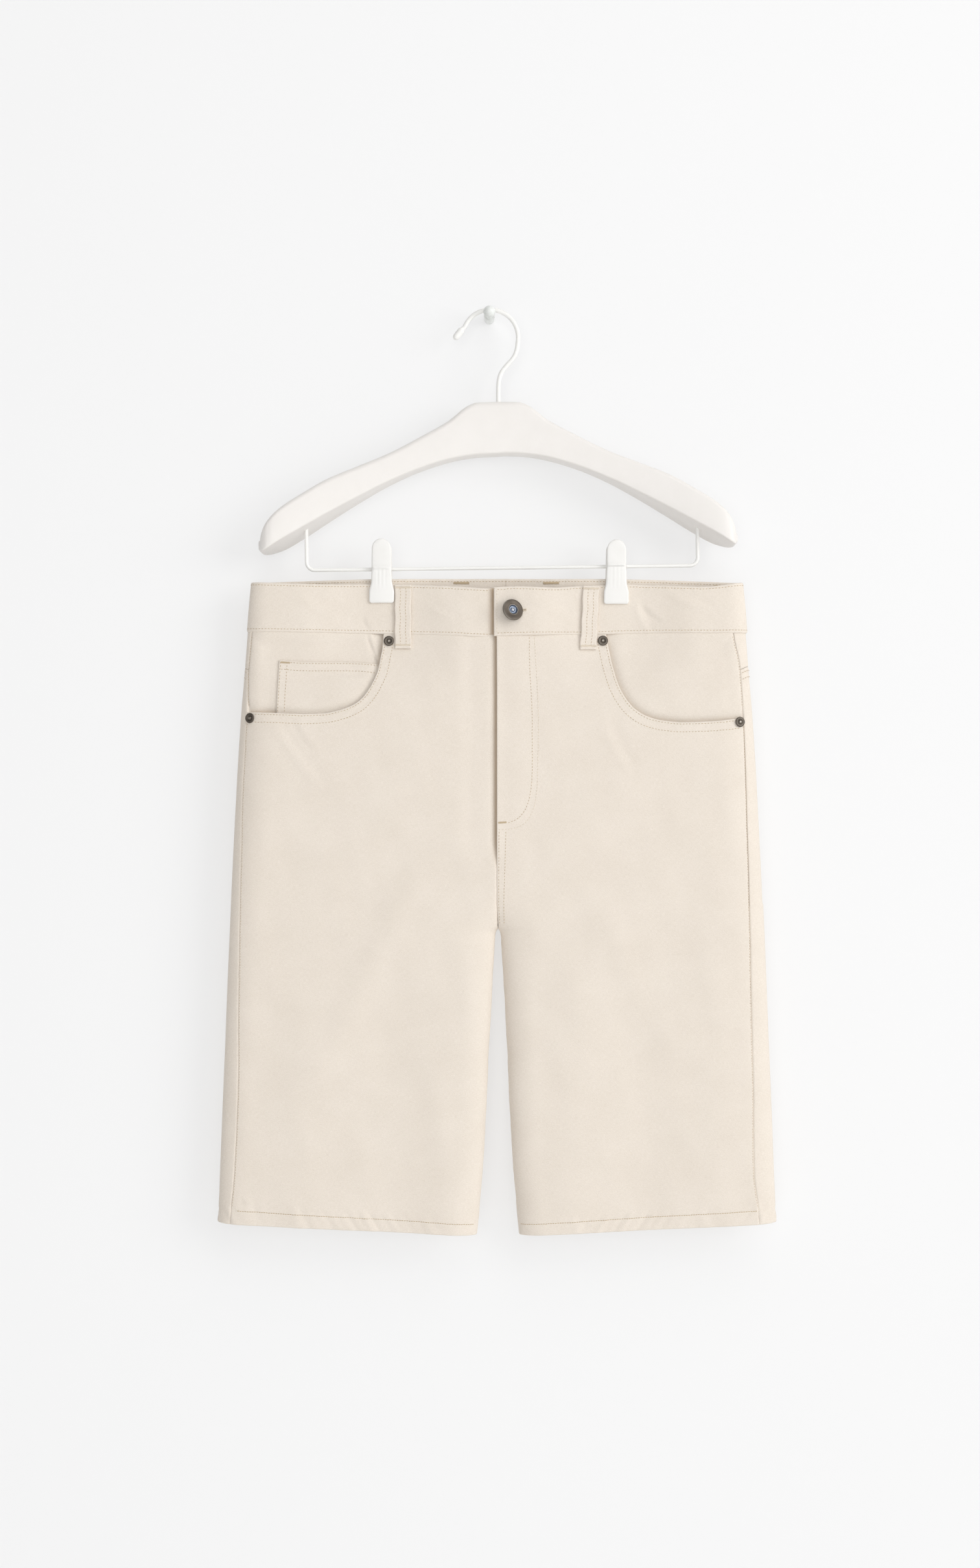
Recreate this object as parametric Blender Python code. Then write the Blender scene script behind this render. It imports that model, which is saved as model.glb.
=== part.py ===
"""Bermuda shorts that hang by their waistband from a clip hanger on a wall peg. +Z is up.

The wall is the plane y = 0, the origin is the middle of the peg's foot on it, and the front faces -Y.
Right and left are the wearer's, so right is at -X. Sizes are in millimetres until a mesh is made.
Places on the shorts are given by "across", from their middle line, and by "drop", down from the waist.
"""
import math

import bmesh
import bpy
import numpy as np
from mathutils import Matrix, Quaternion, Vector

MM = 0.001
RIGHT = -1
LEFT = 1
FRONT = 1
BACK = -1
SIDE_NAMES = {RIGHT: "right", LEFT: "left"}


class Table:
    """Measurements with named columns, read smoothly along the first column."""

    def __init__(self, columns, rows):
        values = np.array(rows, dtype=float).T
        self.places = values[0]
        self.columns = dict(zip(columns, values))
        self.slopes = {name: self.slopes_of(column) for name, column in self.columns.items()}

    def slopes_of(self, column):
        steps = np.diff(column) / np.diff(self.places)
        slopes = [steps[0]]
        for before, after in zip(steps[:-1], steps[1:]):
            turns_back = before * after <= 0
            slopes.append(0.0 if turns_back else 2 * before * after / (before + after))
        slopes.append(steps[-1])
        return slopes

    def read(self, name, place):
        place = min(max(place, self.places[0]), self.places[-1])
        row = min(int(np.searchsorted(self.places, place, side="right")) - 1, len(self.places) - 2)
        span = self.places[row + 1] - self.places[row]
        part = (place - self.places[row]) / span
        start, end = self.columns[name][row:row + 2]
        leave, arrive = self.slopes[name][row:row + 2]
        rest = 1 - part
        return (start * rest * rest * (1 + 2 * part) + end * part * part * (3 - 2 * part)
                + span * part * rest * (leave * rest - arrive * part))


# Where things hang
CENTRE_X = 6.85                 # middle line of the shorts, across from the peg
MIDDLE_Y = -31.0                # plane between the front and the back of the shorts
WAIST_Z = -243.0                # level that drops are measured from

# Cloth: one outer face carries every layer, moved in or out from it
CLOTH = 1.4                     # twill
HEM_CLOTH = 2.8                 # twill turned up and stitched
BAND_CLOTH = 2.6                # waistband, doubled and interlined
LOOP_CLOTH = 1.8                # folded belt loop
SEAM_GAP = 0.3
BAND_GAP = 0.4                  # between the waistband and the panels under it
PLY_GAP = 0.45                  # between cloths that lie on each other
BAND_PROUD = 0.8                # the waistband stands this far out from the panels
LAYER = CLOTH + PLY_GAP

# The cut of the shorts, hung flat: half the width, half the depth, how far in from the side the depth
# is reached, and how far in from the side each side seam lies on the front
BODY = Table(("drop", "half_width", "half_depth", "fold_reach", "seam_right", "seam_left"), (
    (-9, 216.5, 7.2, 13, 3.8, 12.8),
    (0, 217.2, 7.5, 14, 3.8, 12.8),
    (41, 220.7, 9.5, 20, 3.8, 12.6),
    (74, 223.2, 13.0, 27, 3.4, 8.6),
    (113, 226.5, 16.0, 34, 6.2, 9.5),
    (170, 230.2, 16.0, 34, 6.5, 11.0),
    (235, 233.5, 15.0, 31, 8.2, 12.5),
    (304, 236.7, 14.0, 28, 9.8, 14.0),
    (380, 239.8, 13.0, 26, 12.0, 15.6),
    (455, 242.8, 12.5, 25, 14.4, 17.1),
    (520, 245.4, 12.2, 24, 13.9, 19.0),
    (550, 246.6, 12.0, 24, 12.2, 16.5),
    (576, 247.4, 12.0, 24, 11.0, 15.6),
))
CROTCH = 304.0                  # drop of the crotch point
CROTCH_ACROSS = 0.9
LEGS = Table(("drop", "half_gap"), (
    (CROTCH, 0.2), (306.5, 1.9), (312, 2.7), (341, 4.3), (398, 7.4), (455, 10.0), (512, 13.2), (541, 15.6),
    (576, 18.4),
))
INSEAM = Table(("drop", "fold_reach"), (    # reach of the fold along it, and of the dip above the crotch
    (200, 44.0), (CROTCH, 40.0), (330, 31.0), (380, 25.0), (576, 22.0),
))
VIRTUAL_GAP = 150.0             # how far past the middle line a half is read above the crotch
CENTRE_LINES = Table(("drop", FRONT, BACK), (
    (0, -0.5, 6.3), (42, -0.5, 6.3), (97, -0.3, 5.8), (280, -0.3, 1.6), (CROTCH, 0.9, 0.9), (320, 0.9, 0.9),
))
HEM_OUTER_DROP = 561.2
HEM_INNER_DROP = 572.3
HEM_DEPTH = 13.0
SEAT_DEPTH = 2.0                # extra depth of the back round the seat
SEAT_DROPS = (70, 170, 300)     # where it starts, is deepest and ends

# Edges of the waistband, across the whole front and the whole back
WAIST_FRONT = Table(("across", "top", "seam"), (
    (-220.7, -2.8, 41.2), (-192, -0.8, 41.6), (-152, 1.6, 42.2), (-112, 1.0, 42.8), (-90, 0.6, 43.2),
    (-50, 2.6, 44.2), (-3, 3.6, 45.0), (30, 2.2, 43.6), (76, 0.2, 44.0), (116, -1.0, 42.8),
    (148, 0.0, 42.4), (183, 1.3, 42.7), (220.7, -2.8, 42.3),
))
WAIST_BACK = Table(("across", "top", "seam"), (
    (-220.7, -2.8, 41.2), (-180, -4.4, 38.4), (-110, -5.9, 36.8), (6, -6.7, 36.0), (110, -5.9, 36.8),
    (180, -4.4, 38.8), (220.7, -2.8, 42.3),
))
WAIST_EDGES = {FRONT: WAIST_FRONT, BACK: WAIST_BACK}

# The clips pinch the waistband together
CLIP_ACROSS = {RIGHT: -102.0, LEFT: 105.3}
PINCHED_DEPTH = 2.0
PINCH_FLAT = 13.0               # half the width that is pinched flat
PINCH_FADE = 62.0
PINCH_DROPS = (20.0, 104.0)      # pinched down to the first, loose from the second

# Soft folds of the hanging cloth: ridges above and troughs below the plain form
FOLD_COLUMNS = ("face", "across", "lean", "top", "bottom", "width", "rise")
FOLDS = (
    (FRONT, -166, -10, 330, 600, 24, 1.6),
    (FRONT, -96, 6, 300, 600, 26, -1.4),
    (FRONT, -52, 10, 400, 600, 15, 1.2),
    (FRONT, 74, -12, 290, 600, 24, 1.5),
    (FRONT, 128, 4, 330, 600, 22, -1.5),
    (FRONT, 190, 8, 180, 600, 20, 1.1),
    (FRONT, -60, -90, 230, 420, 15, 1.1),
    (FRONT, 66, 84, 236, 410, 15, 1.0),
    (BACK, -140, 16, 190, 600, 26, 2.2),
    (BACK, -70, 4, 280, 600, 20, -1.6),
    (BACK, 82, 10, 210, 600, 24, 2.0),
    (BACK, 156, 6, 250, 600, 26, -1.8),
    (BACK, -46, -110, 278, 400, 16, 1.6),
    (BACK, 52, 104, 282, 400, 16, 1.6),
)

# Front: the pocket mouths run from the side seam to the waistband seam
MOUTH_COLUMNS = ("across", "drop")
MOUTHS = {
    RIGHT: ((-223.0, 112.2), (-190, 113.2), (-171, 114.0), (-153, 113.4), (-137, 110.0), (-124, 104.3),
            (-115, 95.2), (-108.5, 83.8), (-105, 75.0), (-103, 64.0), (-101, 53.0), (-100.4, 43.3)),
    LEFT: ((216.5, 117.4), (189, 120.3), (162, 121.2), (144, 119.4), (131, 115.7), (118, 106.6),
           (107.6, 90.0), (102, 72.2), (98.6, 56.0), (96.4, 43.7)),
}
MOUTH_SHARES = (0.0, 0.055, 0.12, 0.19, 0.27, 0.4, 0.5, 0.59, 0.68, 0.77, 0.88, 1.0)
FACING_BOTTOM = 132.0
FACING_INNER = 87.0             # how far from the middle line a facing ends
FACING_LEVELS = (0.0, 0.13, 0.27, 0.42, 0.58, 0.72, 0.86, 1.0)
COIN_OUTER = (-192.0, -195.2)   # its outer edge at the top and the bottom
COIN_INNER = -95.0
COIN_TOP = (66.1, 70.8)         # drop of its top edge at the outer and the inner corner
COIN_BOTTOM = 125.0
COIN_LEVELS = (0.0, 0.2, 0.4, 0.6, 0.8, 1.0)
COIN_ZONE = (-213.0, -199.0)    # across which the facing sinks one more layer to carry it

# Fly: the left front laps over the right front
FLY_RAISE = 0.9
FLY_SINK = LAYER - FLY_RAISE
FLY_LAP = 12.0                  # the right front reaches this far under
FLY_LAP_ENDS = (196.0, 214.0)   # drops between which the lap runs out
FLY_FLAT = 15.0                 # full raise to here, faded out by FLY_FADE
FLY_FADE = 36.0
FLY_ENDS = (222.0, 252.0)

# Waistband ends
BAND_OVER = -3.0                # across place of the upper end
BAND_UNDER = 26.0               # across place of the hidden end
UNDER_DROP = 1.5                # the hidden end hangs this much lower
UNDER_FADE = (-56.0, -6.0, 12.0)
BAND_RAISE = 1.5
BAND_SINK = BAND_CLOTH + SEAM_GAP - BAND_RAISE
BAND_FLAT = 29.0
BAND_FADE = 62.0
BAND_COLUMNS = {                # across the middle line, with three under each belt loop
    (RIGHT, FRONT): (20, 34, 48, 62, 75.6, 83, 90.4, 102, 113, 125, 140, 156, 174, 190),
    (LEFT, FRONT): (20, 34, 48, 62, 75.6, 83, 90.4, 98, 105, 117, 130, 146, 164, 184),
    (RIGHT, BACK): (10, 24.4, 31.8, 39.2, 54, 70, 86, 102, 118, 140, 162, 179.6, 187, 194.4),
    (LEFT, BACK): (24, 40.8, 48.2, 55.6, 72, 90, 105, 120, 142, 168, 192.4, 199.8),
}
BAND_TURNS = 8                  # steps round each side fold

# Back
YOKE_SEAM = Table(("share", "drop"), (
    (0.0, 75.0), (0.045, 72.0), (0.2, 73.0), (0.55, 84.0), (1.0, 97.0),
))
BACK_POCKET_COLUMNS = (6, 11)         # of the back panel's columns, the outer and the inner edge
BACK_POCKET_TOP = (112.0, 119.0)     # drop at the outer and the inner corner
BACK_POCKET_SIDES = (256.0, 262.0)
BACK_POCKET_POINT = 15.0

# Belt loops: the face, the side and where they start and end
LOOP_WIDTH = 14.8
LOOP_COLUMNS = ("name", "side", "face", "top_across", "bottom_across")
LOOPS = (
    ("front_right", RIGHT, FRONT, -83.0, -83.0),
    ("front_left", LEFT, FRONT, 83.0, 80.2),
    ("side_right", RIGHT, BACK, -187.0, -187.0),
    ("side_left", LEFT, BACK, 199.8, 199.8),
    ("back_right", RIGHT, BACK, -31.8, -31.8),
    ("back_left", LEFT, BACK, 48.2, 48.2),
)
LOOP_LENGTH = 57.0
LOOP_SLACK = Table(("share", "slack"), (
    (0.0, 0.0), (0.08, 0.1), (0.3, 0.7), (0.5, 0.8), (0.72, 0.3), (1.0, 0.2),
))
LOOP_SHARES = (0.0, 0.08, 0.3, 0.52)
LOOP_STEP = (0.6, 3.6)          # below the waistband's edge, where a loop leaves it and meets the panel

# Metal
RIVETS = (
    ("inner_right", RIGHT, -95.6, 49.4),
    ("inner_left", LEFT, 93.4, 49.2),
    ("outer_right", RIGHT, -217.2, 117.6),
    ("outer_left", LEFT, 213.1, 121.0),
)
RIVET_PROFILE = ((0, 0), (4.2, 0), (4.45, 0.5), (4.1, 1.0), (3.1, 1.15), (1.5, 0.95), (1.2, 1.45), (0, 1.6))
RIVET_PROUD = 0.35              # room for the curve of the cloth under its rim
BUTTON_ACROSS = 10.9
BUTTON_DROP = 24.3
BUTTON_TILT = (math.radians(11), math.radians(26))    # of its face, up and towards the left
BUTTON_SHANK = 5.1
BUTTON_FOOT = ((0, 0), (3.2, 0), (3.0, 2.4))
BUTTON_CAP = (                  # radius and height above the shank
    (3.0, 0), (8.7, 0), (9.6, 0.8), (9.7, 1.7), (9.1, 2.7), (7.9, 3.0), (5.0, 2.7), (4.3, 2.9), (3.7, 2.2),
    (3.3, 1.2), (1.6, 1.0), (1.3, 1.7), (0, 1.9),
)

# Hanger: half of its outline, worked out from its middle and from its flat top
HANGER_X = 7.6
HANGER_TOP_Z = -79.0
HANGER_TILT = math.radians(-0.7)     # its right end hangs lower
HANGER_HALF = Table(("reach", "top", "front_bottom", "back_bottom", "front_y", "back_y"), (
    (0, 0.0, 46.0, 46.6, -30, -12),
    (18, 0.4, 46.6, 47.2, -30.2, -12),
    (27, 3.7, 47.5, 48.2, -30.6, -12),
    (43, 16.2, 50.4, 51.2, -31.6, -12),
    (68, 30.3, 58.0, 58.9, -33, -12.4),
    (96, 44.9, 69.6, 71.2, -35.4, -13),
    (125, 57.0, 84.2, 87.6, -38.6, -13.5),
    (150, 67.7, 97.8, 103.2, -42, -14),
    (172, 80.6, 110.4, 117.2, -45.4, -14),
    (190, 92.4, 120.8, 127.2, -48, -14),
    (197, 98.6, 125.2, 129.6, -48.6, -14.4),
    (202, 104.4, 128.2, 131.0, -48, -15.8),
    (205, 109.2, 129.8, 131.4, -46.6, -17.8),
    (207.4, 114.6, 130.6, 131.2, -44.2, -20.8),
    (208.9, 120.6, 129.6, 129.8, -39.5, -26),
))
HANGER_STRETCH = {RIGHT: 1.013, LEFT: 1.0}      # its right arm is a little longer
HANGER_STATIONS = (0, 9, 18, 22, 27, 34, 43, 55, 68, 82, 96, 110, 125, 138, 150, 161, 172, 182, 190, 197,
                   202, 205, 207.4, 208.9)
HANGER_ROUND_TOP = 5.0
HANGER_ROUND_BOTTOM = 1.6

# Hook: its wire runs from the tip over the peg and down into the hanger's top
HOOK_Y = -21.8
HOOK_WIRE = 2.0                 # radius
HOOK_TIP = 3.1                  # radius of the thick tip
HOOK_ARC_MIDDLE = (0.9, -21.1)
HOOK_ARC_RADIUS = 24.7
HOOK_ARC = (158, -8)            # degrees
HOOK_TIP_COLUMNS = ("x", "z", "radius")
HOOK_TIP_POINTS = ((-30.6, -22.0, 1.6), (-30.0, -21.2, 2.6), (-28.9, -19.9, HOOK_TIP),
                   (-26.4, -16.7, HOOK_TIP), (-24.5, -14.3, 2.9), (-23.6, -13.2, HOOK_WIRE))
HOOK_STEM_POINTS = ((24.9, -29.6), (22.9, -36.6), (19.4, -41.9), (15.2, -46.4), (11.7, -50.9),
                    (9.3, -56.0), (8.3, -62.0), (8.0, -68.0), (8.0, -76.0), (8.0, -88.0))

# Trouser bar, across places from the hanger's middle and depths below its top
BAR_WIRE = 1.6                  # radius
BAR_REACH = (-171.0, 175.2)
BAR_DEPTH = 148.2
BAR_END_DEPTH = 103.0           # its ends sit in holes in the hanger
BAR_CORNER = 7.0
BAR_CORNER_STEPS = 4
HOLE_CLEARANCE = 0.45

# Clips: half width by height above the lower end, and the depths of a jaw's faces
CLIP_HEIGHT = 56.3
CLIP_BOTTOM_Z = {RIGHT: -258.6, LEFT: -259.5}
CLIP_BAR_HEIGHT = {RIGHT: 30.2, LEFT: 33.5}
CLIP_SHAPE = Table(("height", "half_width", "inner", "outer"), (
    (0.0, 10.2, 3.2, 4.9),
    (1.8, 11.1, 3.2, 6.0),
    (10.0, 11.1, 3.2, 6.4),
    (14.0, 10.3, 3.2, 6.7),
    (18.5, 9.3, 3.2, 7.0),
    (24.0, 9.0, 4.4, 7.6),
    (31.0, 8.8, 5.4, 8.4),
    (44.0, 8.4, 7.4, 10.2),
    (50.0, 7.4, 8.4, 10.9),
    (54.5, 4.6, 9.0, 11.2),
    (CLIP_HEIGHT, 1.6, 9.4, 10.9),
))
CLIP_HEIGHTS = (0.0, 1.8, 10.0, 14.0, 18.5, 24.0, 44.0, 50.0, 54.5, CLIP_HEIGHT)
CLIP_SEAT = 2.2                 # half the height of the pad that bears on the bar
CLIP_ACROSS_STEPS = 4
CLIP_CROWN = 0.7                # how much a jaw's outer face falls away at its edges

# Peg, turned about a level axis: radius and distance from the wall
PEG_HEAD = 5.4
PEG_HEAD_Y = 29.9
PEG_NECK = 1.3
PEG_PROFILE = ((4.8, 0), (4.8, 15.6), (4.3, 17.0), (2.4, 18.4), (PEG_NECK, 19.3), (PEG_NECK, 24.66))
PEG_HEAD_STEPS = 7

COLOURS = {
    "cotton_twill": ((0.80, 0.73, 0.63), 0.9, 0.0),
    "white_lacquer": ((0.87, 0.85, 0.82), 0.4, 0.0),
    "white_plastic": ((0.88, 0.87, 0.84), 0.35, 0.0),
    "white_wire": ((0.85, 0.84, 0.81), 0.35, 0.0),
    "dark_metal": ((0.13, 0.115, 0.095), 0.38, 1.0),
}


def ease(value):
    """0 below 0, 1 above 1, smooth between."""
    value = np.clip(value, 0.0, 1.0)
    return value * value * (3 - 2 * value)


def quarter_round(value):
    """Height of a quarter of an ellipse, 0 at 0 and 1 from 1 on."""
    rest = 1 - np.clip(value, 0.0, 1.0)
    return np.sqrt(1 - rest * rest)


def mix(start, end, part):
    return start + (end - start) * part


def make_materials():
    materials = {}
    for name, (colour, roughness, metallic) in COLOURS.items():
        material = bpy.data.materials.new(name)
        material.use_nodes = True
        shader = material.node_tree.nodes["Principled BSDF"]
        shader.inputs["Base Color"].default_value = (*colour, 1.0)
        shader.inputs["Roughness"].default_value = roughness
        shader.inputs["Metallic"].default_value = metallic
        materials[name] = material
    return materials


# ---------------------------------------------------------------- the form of the cloth

def half_width(drop):
    return BODY.read("half_width", drop)


def inner_reach(drop, side):
    """From the outer side to a leg's inseam, or above the crotch to past the middle line."""
    if drop < CROTCH:
        half_gap = -min(CROTCH - drop, VIRTUAL_GAP)
    else:
        half_gap = LEGS.read("half_gap", drop)
    return half_width(drop) - side * CROTCH_ACROSS - half_gap


def soft_folds(face, across, drop):
    rise = np.zeros_like(across)
    for row in FOLDS:
        fold = dict(zip(FOLD_COLUMNS, row))
        if fold["face"] != face:
            continue
        part = (drop - fold["top"]) / (fold["bottom"] - fold["top"])
        along = ease(part * 4) * ease((1.15 - part) * 4)
        middle = fold["across"] + fold["lean"] * part
        rise += fold["rise"] * along * np.exp(-((across - middle) / fold["width"]) ** 2)
    return rise


def clip_pinch(across, drop):
    """1 where a clip holds the waistband flat, 0 away from it."""
    start, end = PINCH_DROPS
    down = ease((end - drop) / (end - start))
    sideways = np.zeros_like(across)
    for middle in CLIP_ACROSS.values():
        away = np.abs(across - middle) - PINCH_FLAT
        sideways = np.maximum(sideways, ease(1 - away / PINCH_FADE))
    return down * sideways


def depth_at(side, face, drop, reach):
    """Distance of the cloth's outer face from the middle plane."""
    across = side * (half_width(drop) - reach)
    full = BODY.read("half_depth", drop)
    if face == BACK:
        start, deepest, end = SEAT_DROPS
        full += SEAT_DEPTH * ease((drop - start) / (deepest - start)) * ease((end - drop) / (end - deepest))
    outer = reach / BODY.read("fold_reach", drop)
    inner = (inner_reach(drop, side) - reach) / INSEAM.read("fold_reach", drop)
    depth = full * quarter_round(outer) * quarter_round(inner)
    depth = depth + soft_folds(face, across, drop) * ease(outer) * ease(inner)
    return mix(depth, PINCHED_DEPTH, clip_pinch(across, drop))


PROFILES = {}
FOLD_STEPS = 16
FLAT_STEPS = 90


def profile(side, face, drop):
    """One half of the shorts cut level: girth from the side, reach from the side and depth."""
    key = (side, face, round(drop, 3))
    if key not in PROFILES:
        fold = BODY.read("fold_reach", drop)
        end = inner_reach(drop, side)
        turn = np.linspace(0, math.pi / 2, FOLD_STEPS + 1)
        outer = fold * (1 - np.cos(turn))
        inner_fold = INSEAM.read("fold_reach", drop)
        inner = end - inner_fold * (1 - np.cos(turn[::-1]))
        flat = np.linspace(fold, end - inner_fold, FLAT_STEPS + 1)
        reach = np.concatenate((outer, flat[1:-1], inner))
        depth = depth_at(side, face, drop, reach)
        lengths = np.hypot(np.diff(reach), np.diff(depth))
        PROFILES[key] = (np.concatenate(([0.0], np.cumsum(lengths))), reach, depth)
    return PROFILES[key]


def face_of(girth):
    return FRONT if girth >= 0 else BACK


def side_of(across):
    return LEFT if across >= 0 else RIGHT


def skin(side, girth, drop):
    """Point of the outer face. Girth is counted from the side: forward is positive, back negative."""
    face = face_of(girth)
    girths, reaches, depths = profile(side, face, drop)
    past_end = abs(girth) > girths[-1]
    place = 2 * girths[-1] - abs(girth) if past_end else abs(girth)
    reach = np.interp(place, girths, reaches)
    depth = np.interp(place, girths, depths) * (-face if past_end else face)
    return Vector((CENTRE_X + side * (half_width(drop) - reach), MIDDLE_Y - depth, WAIST_Z - drop))


NORMAL_STEP = 0.5


def outward(side, girth, drop):
    ahead = skin(side, girth + NORMAL_STEP, drop)
    behind = skin(side, girth - NORMAL_STEP, drop)
    below = skin(side, girth, drop + NORMAL_STEP)
    above = skin(side, girth, drop - NORMAL_STEP)
    return side * (ahead - behind).cross(below - above).normalized()


def cloth_point(side, girth, drop, out=0.0):
    return skin(side, girth, drop) + outward(side, girth, drop) * out


def girth_at(side, face, drop, across):
    girths, reaches, _ = profile(side, face, drop)
    return face * float(np.interp(half_width(drop) - side * across, reaches, girths))


def across_at(side, girth, drop):
    return skin(side, girth, drop).x - CENTRE_X


def side_seam(side, drop):
    girths, reaches, _ = profile(side, FRONT, drop)
    return float(np.interp(BODY.read("seam_" + SIDE_NAMES[side], drop), reaches, girths))


def centre_edge(side, face, drop, lap=0.0):
    """Girth of a panel's edge at the centre seam, or below the crotch at the inseam."""
    girths, reaches, _ = profile(side, face, drop)
    last = girths[-1] - SEAM_GAP / 2
    if drop >= CROTCH:
        return face * last
    across = CENTRE_LINES.read(face, drop) + side * (SEAM_GAP / 2 - lap)
    reach = half_width(drop) - side * across
    return face * min(float(np.interp(reach, reaches, girths)), last)


def hem_drop(across):
    outermost = half_width(HEM_OUTER_DROP)
    innermost = LEGS.read("half_gap", HEM_INNER_DROP)
    return mix(HEM_INNER_DROP, HEM_OUTER_DROP, (abs(across) - innermost) / (outermost - innermost))


# ---------------------------------------------------------------- meshes

def finish(name, mesh_tool, material):
    bmesh.ops.recalc_face_normals(mesh_tool, faces=mesh_tool.faces)
    mesh = bpy.data.meshes.new(name)
    mesh_tool.to_mesh(mesh)
    mesh_tool.free()
    mesh.materials.append(material)
    mesh.shade_smooth()
    mesh.set_sharp_from_angle(angle=math.radians(40))
    piece = bpy.data.objects.new(name, mesh)
    bpy.context.collection.objects.link(piece)
    return piece


def wall(name, outer, inner, material):
    """Closed wall between two grids of points that have the same rows and columns."""
    tool = bmesh.new()
    front = [[tool.verts.new(point * MM) for point in row] for row in outer]
    back = [[tool.verts.new(point * MM) for point in row] for row in inner]
    rows = len(outer)
    columns = len(outer[0])
    for row in range(rows - 1):
        for column in range(columns - 1):
            for grid in (front, back):
                tool.faces.new((grid[row][column], grid[row][column + 1],
                                grid[row + 1][column + 1], grid[row + 1][column]))
    border = [(0, column) for column in range(columns)]
    border += [(row, columns - 1) for row in range(1, rows)]
    border += [(rows - 1, column) for column in range(columns - 2, -1, -1)]
    border += [(row, 0) for row in range(rows - 2, 0, -1)]
    for here, there in zip(border, border[1:] + border[:1]):
        tool.faces.new((front[here[0]][here[1]], front[there[0]][there[1]],
                        back[there[0]][there[1]], back[here[0]][here[1]]))
    return finish(name, tool, material)


def cloth_wall(name, side, places, material, out=lambda across, drop: 0.0, thickness=None):
    """Wall of cloth through a grid of (girth, drop) places on one half of the shorts."""
    outer = []
    inner = []
    for number, row in enumerate(places):
        thick = thickness[number] if thickness else CLOTH
        lifts = [out(across_at(side, girth, drop), drop) for girth, drop in row]
        outer.append([cloth_point(side, girth, drop, lift) for (girth, drop), lift in zip(row, lifts)])
        inner.append([cloth_point(side, girth, drop, lift - thick)
                      for (girth, drop), lift in zip(row, lifts)])
    return wall(name, outer, inner, material)


def turned(name, outline, segments, place, material):
    """Solid turned about its own Z axis from (radius, height) points, then set at a place."""
    tool = bmesh.new()
    verts = [tool.verts.new((radius * MM, 0, height * MM)) for radius, height in outline]
    edges = [tool.edges.new(pair) for pair in zip(verts, verts[1:])]
    bmesh.ops.spin(tool, geom=verts + edges, cent=(0, 0, 0), axis=(0, 0, 1), angle=math.tau,
                   steps=segments, use_merge=True, use_duplicate=False)
    bmesh.ops.remove_doubles(tool, verts=tool.verts, dist=1e-6)
    piece = finish(name, tool, material)
    piece.matrix_world = place
    return piece


def wire(name, points, radius, material, thickness=None):
    """Round wire through points in millimetres."""
    curve = bpy.data.curves.new(name, "CURVE")
    curve.dimensions = "3D"
    curve.bevel_depth = radius * MM
    curve.bevel_resolution = 2
    curve.render_resolution_u = 0
    curve.use_fill_caps = True
    spline = curve.splines.new("POLY")
    spline.points.add(len(points) - 1)
    for number, point in enumerate(points):
        spline.points[number].co = (*(Vector(point) * MM), 1.0)
        spline.points[number].radius = thickness[number] / radius if thickness else 1.0
    curve.materials.append(material)
    piece = bpy.data.objects.new(name, curve)
    bpy.context.collection.objects.link(piece)
    return piece


# ---------------------------------------------------------------- panels

def share_of(side, across, drop, outer_edge, inner_edge):
    """Where an across place lies between a front piece's outer edge, 0, and inner edge, 1."""
    girth = girth_at(side, FRONT, drop, across)
    start = outer_edge(drop)
    return (girth - start) / (inner_edge(drop) - start)


def between(tops, bottoms, levels, outer_edge, inner_edge):
    """Grid of (girth, drop) places between (share, drop) points of a top and a bottom edge."""
    grid = []
    for level in levels:
        row = []
        for (top_share, top_drop), (bottom_share, bottom_drop) in zip(tops, bottoms):
            drop = mix(top_drop, bottom_drop, level)
            share = mix(top_share, bottom_share, level)
            row.append((mix(outer_edge(drop), inner_edge(drop), share), drop))
        grid.append(row)
    return grid


def panel_levels(top):
    """Levels from a panel's top, 0, to its hem, 1: closer at the crotch, with two at the hem's fold."""
    length = HEM_INNER_DROP - top
    crotch = (CROTCH - top) / length
    fold = 1 - HEM_DEPTH / length
    levels = [crotch * share for share in ROWS_TO_CROTCH]
    levels += [mix(crotch, fold, share) for share in ROWS_TO_HEM]
    return levels + [fold + HEM_STEP / length, 1.0]


def hem_points(side, shares, outer_edge, inner_edge):
    points = []
    for share in shares:
        girth = mix(outer_edge(HEM_OUTER_DROP), inner_edge(HEM_OUTER_DROP), share)
        points.append((share, hem_drop(across_at(side, girth, HEM_OUTER_DROP))))
    return points


def hem_thickness(levels):
    return [CLOTH] * (len(levels) - 2) + [HEM_CLOTH] * 2


def mouth_point(side, share):
    """Point of a pocket mouth, from the side seam at 0 to the waistband seam at 1."""
    points = np.array(MOUTHS[side], dtype=float)
    lengths = np.concatenate(([0.0], np.cumsum(np.hypot(*np.diff(points, axis=0).T))))
    place = share * lengths[-1]
    return float(np.interp(place, lengths, points[:, 0])), float(np.interp(place, lengths, points[:, 1]))


def waist_seam(side, face, across):
    return WAIST_EDGES[face].read("seam", across) + hidden_end_drop(side, face, across) + BAND_GAP


def fly_strength(drop):
    start, end = FLY_ENDS
    return ease((end - drop) / (end - start))


def fly_lap(drop):
    start, end = FLY_LAP_ENDS
    return FLY_LAP * ease((end - drop) / (end - start))


def over_fly(across, drop):
    return FLY_RAISE * fly_strength(drop) * ease((FLY_FADE - across) / (FLY_FADE - FLY_FLAT))


def under_fly(across, drop):
    return -FLY_SINK * fly_strength(drop) * ease((across + FLY_FADE) / FLY_FLAT)


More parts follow.
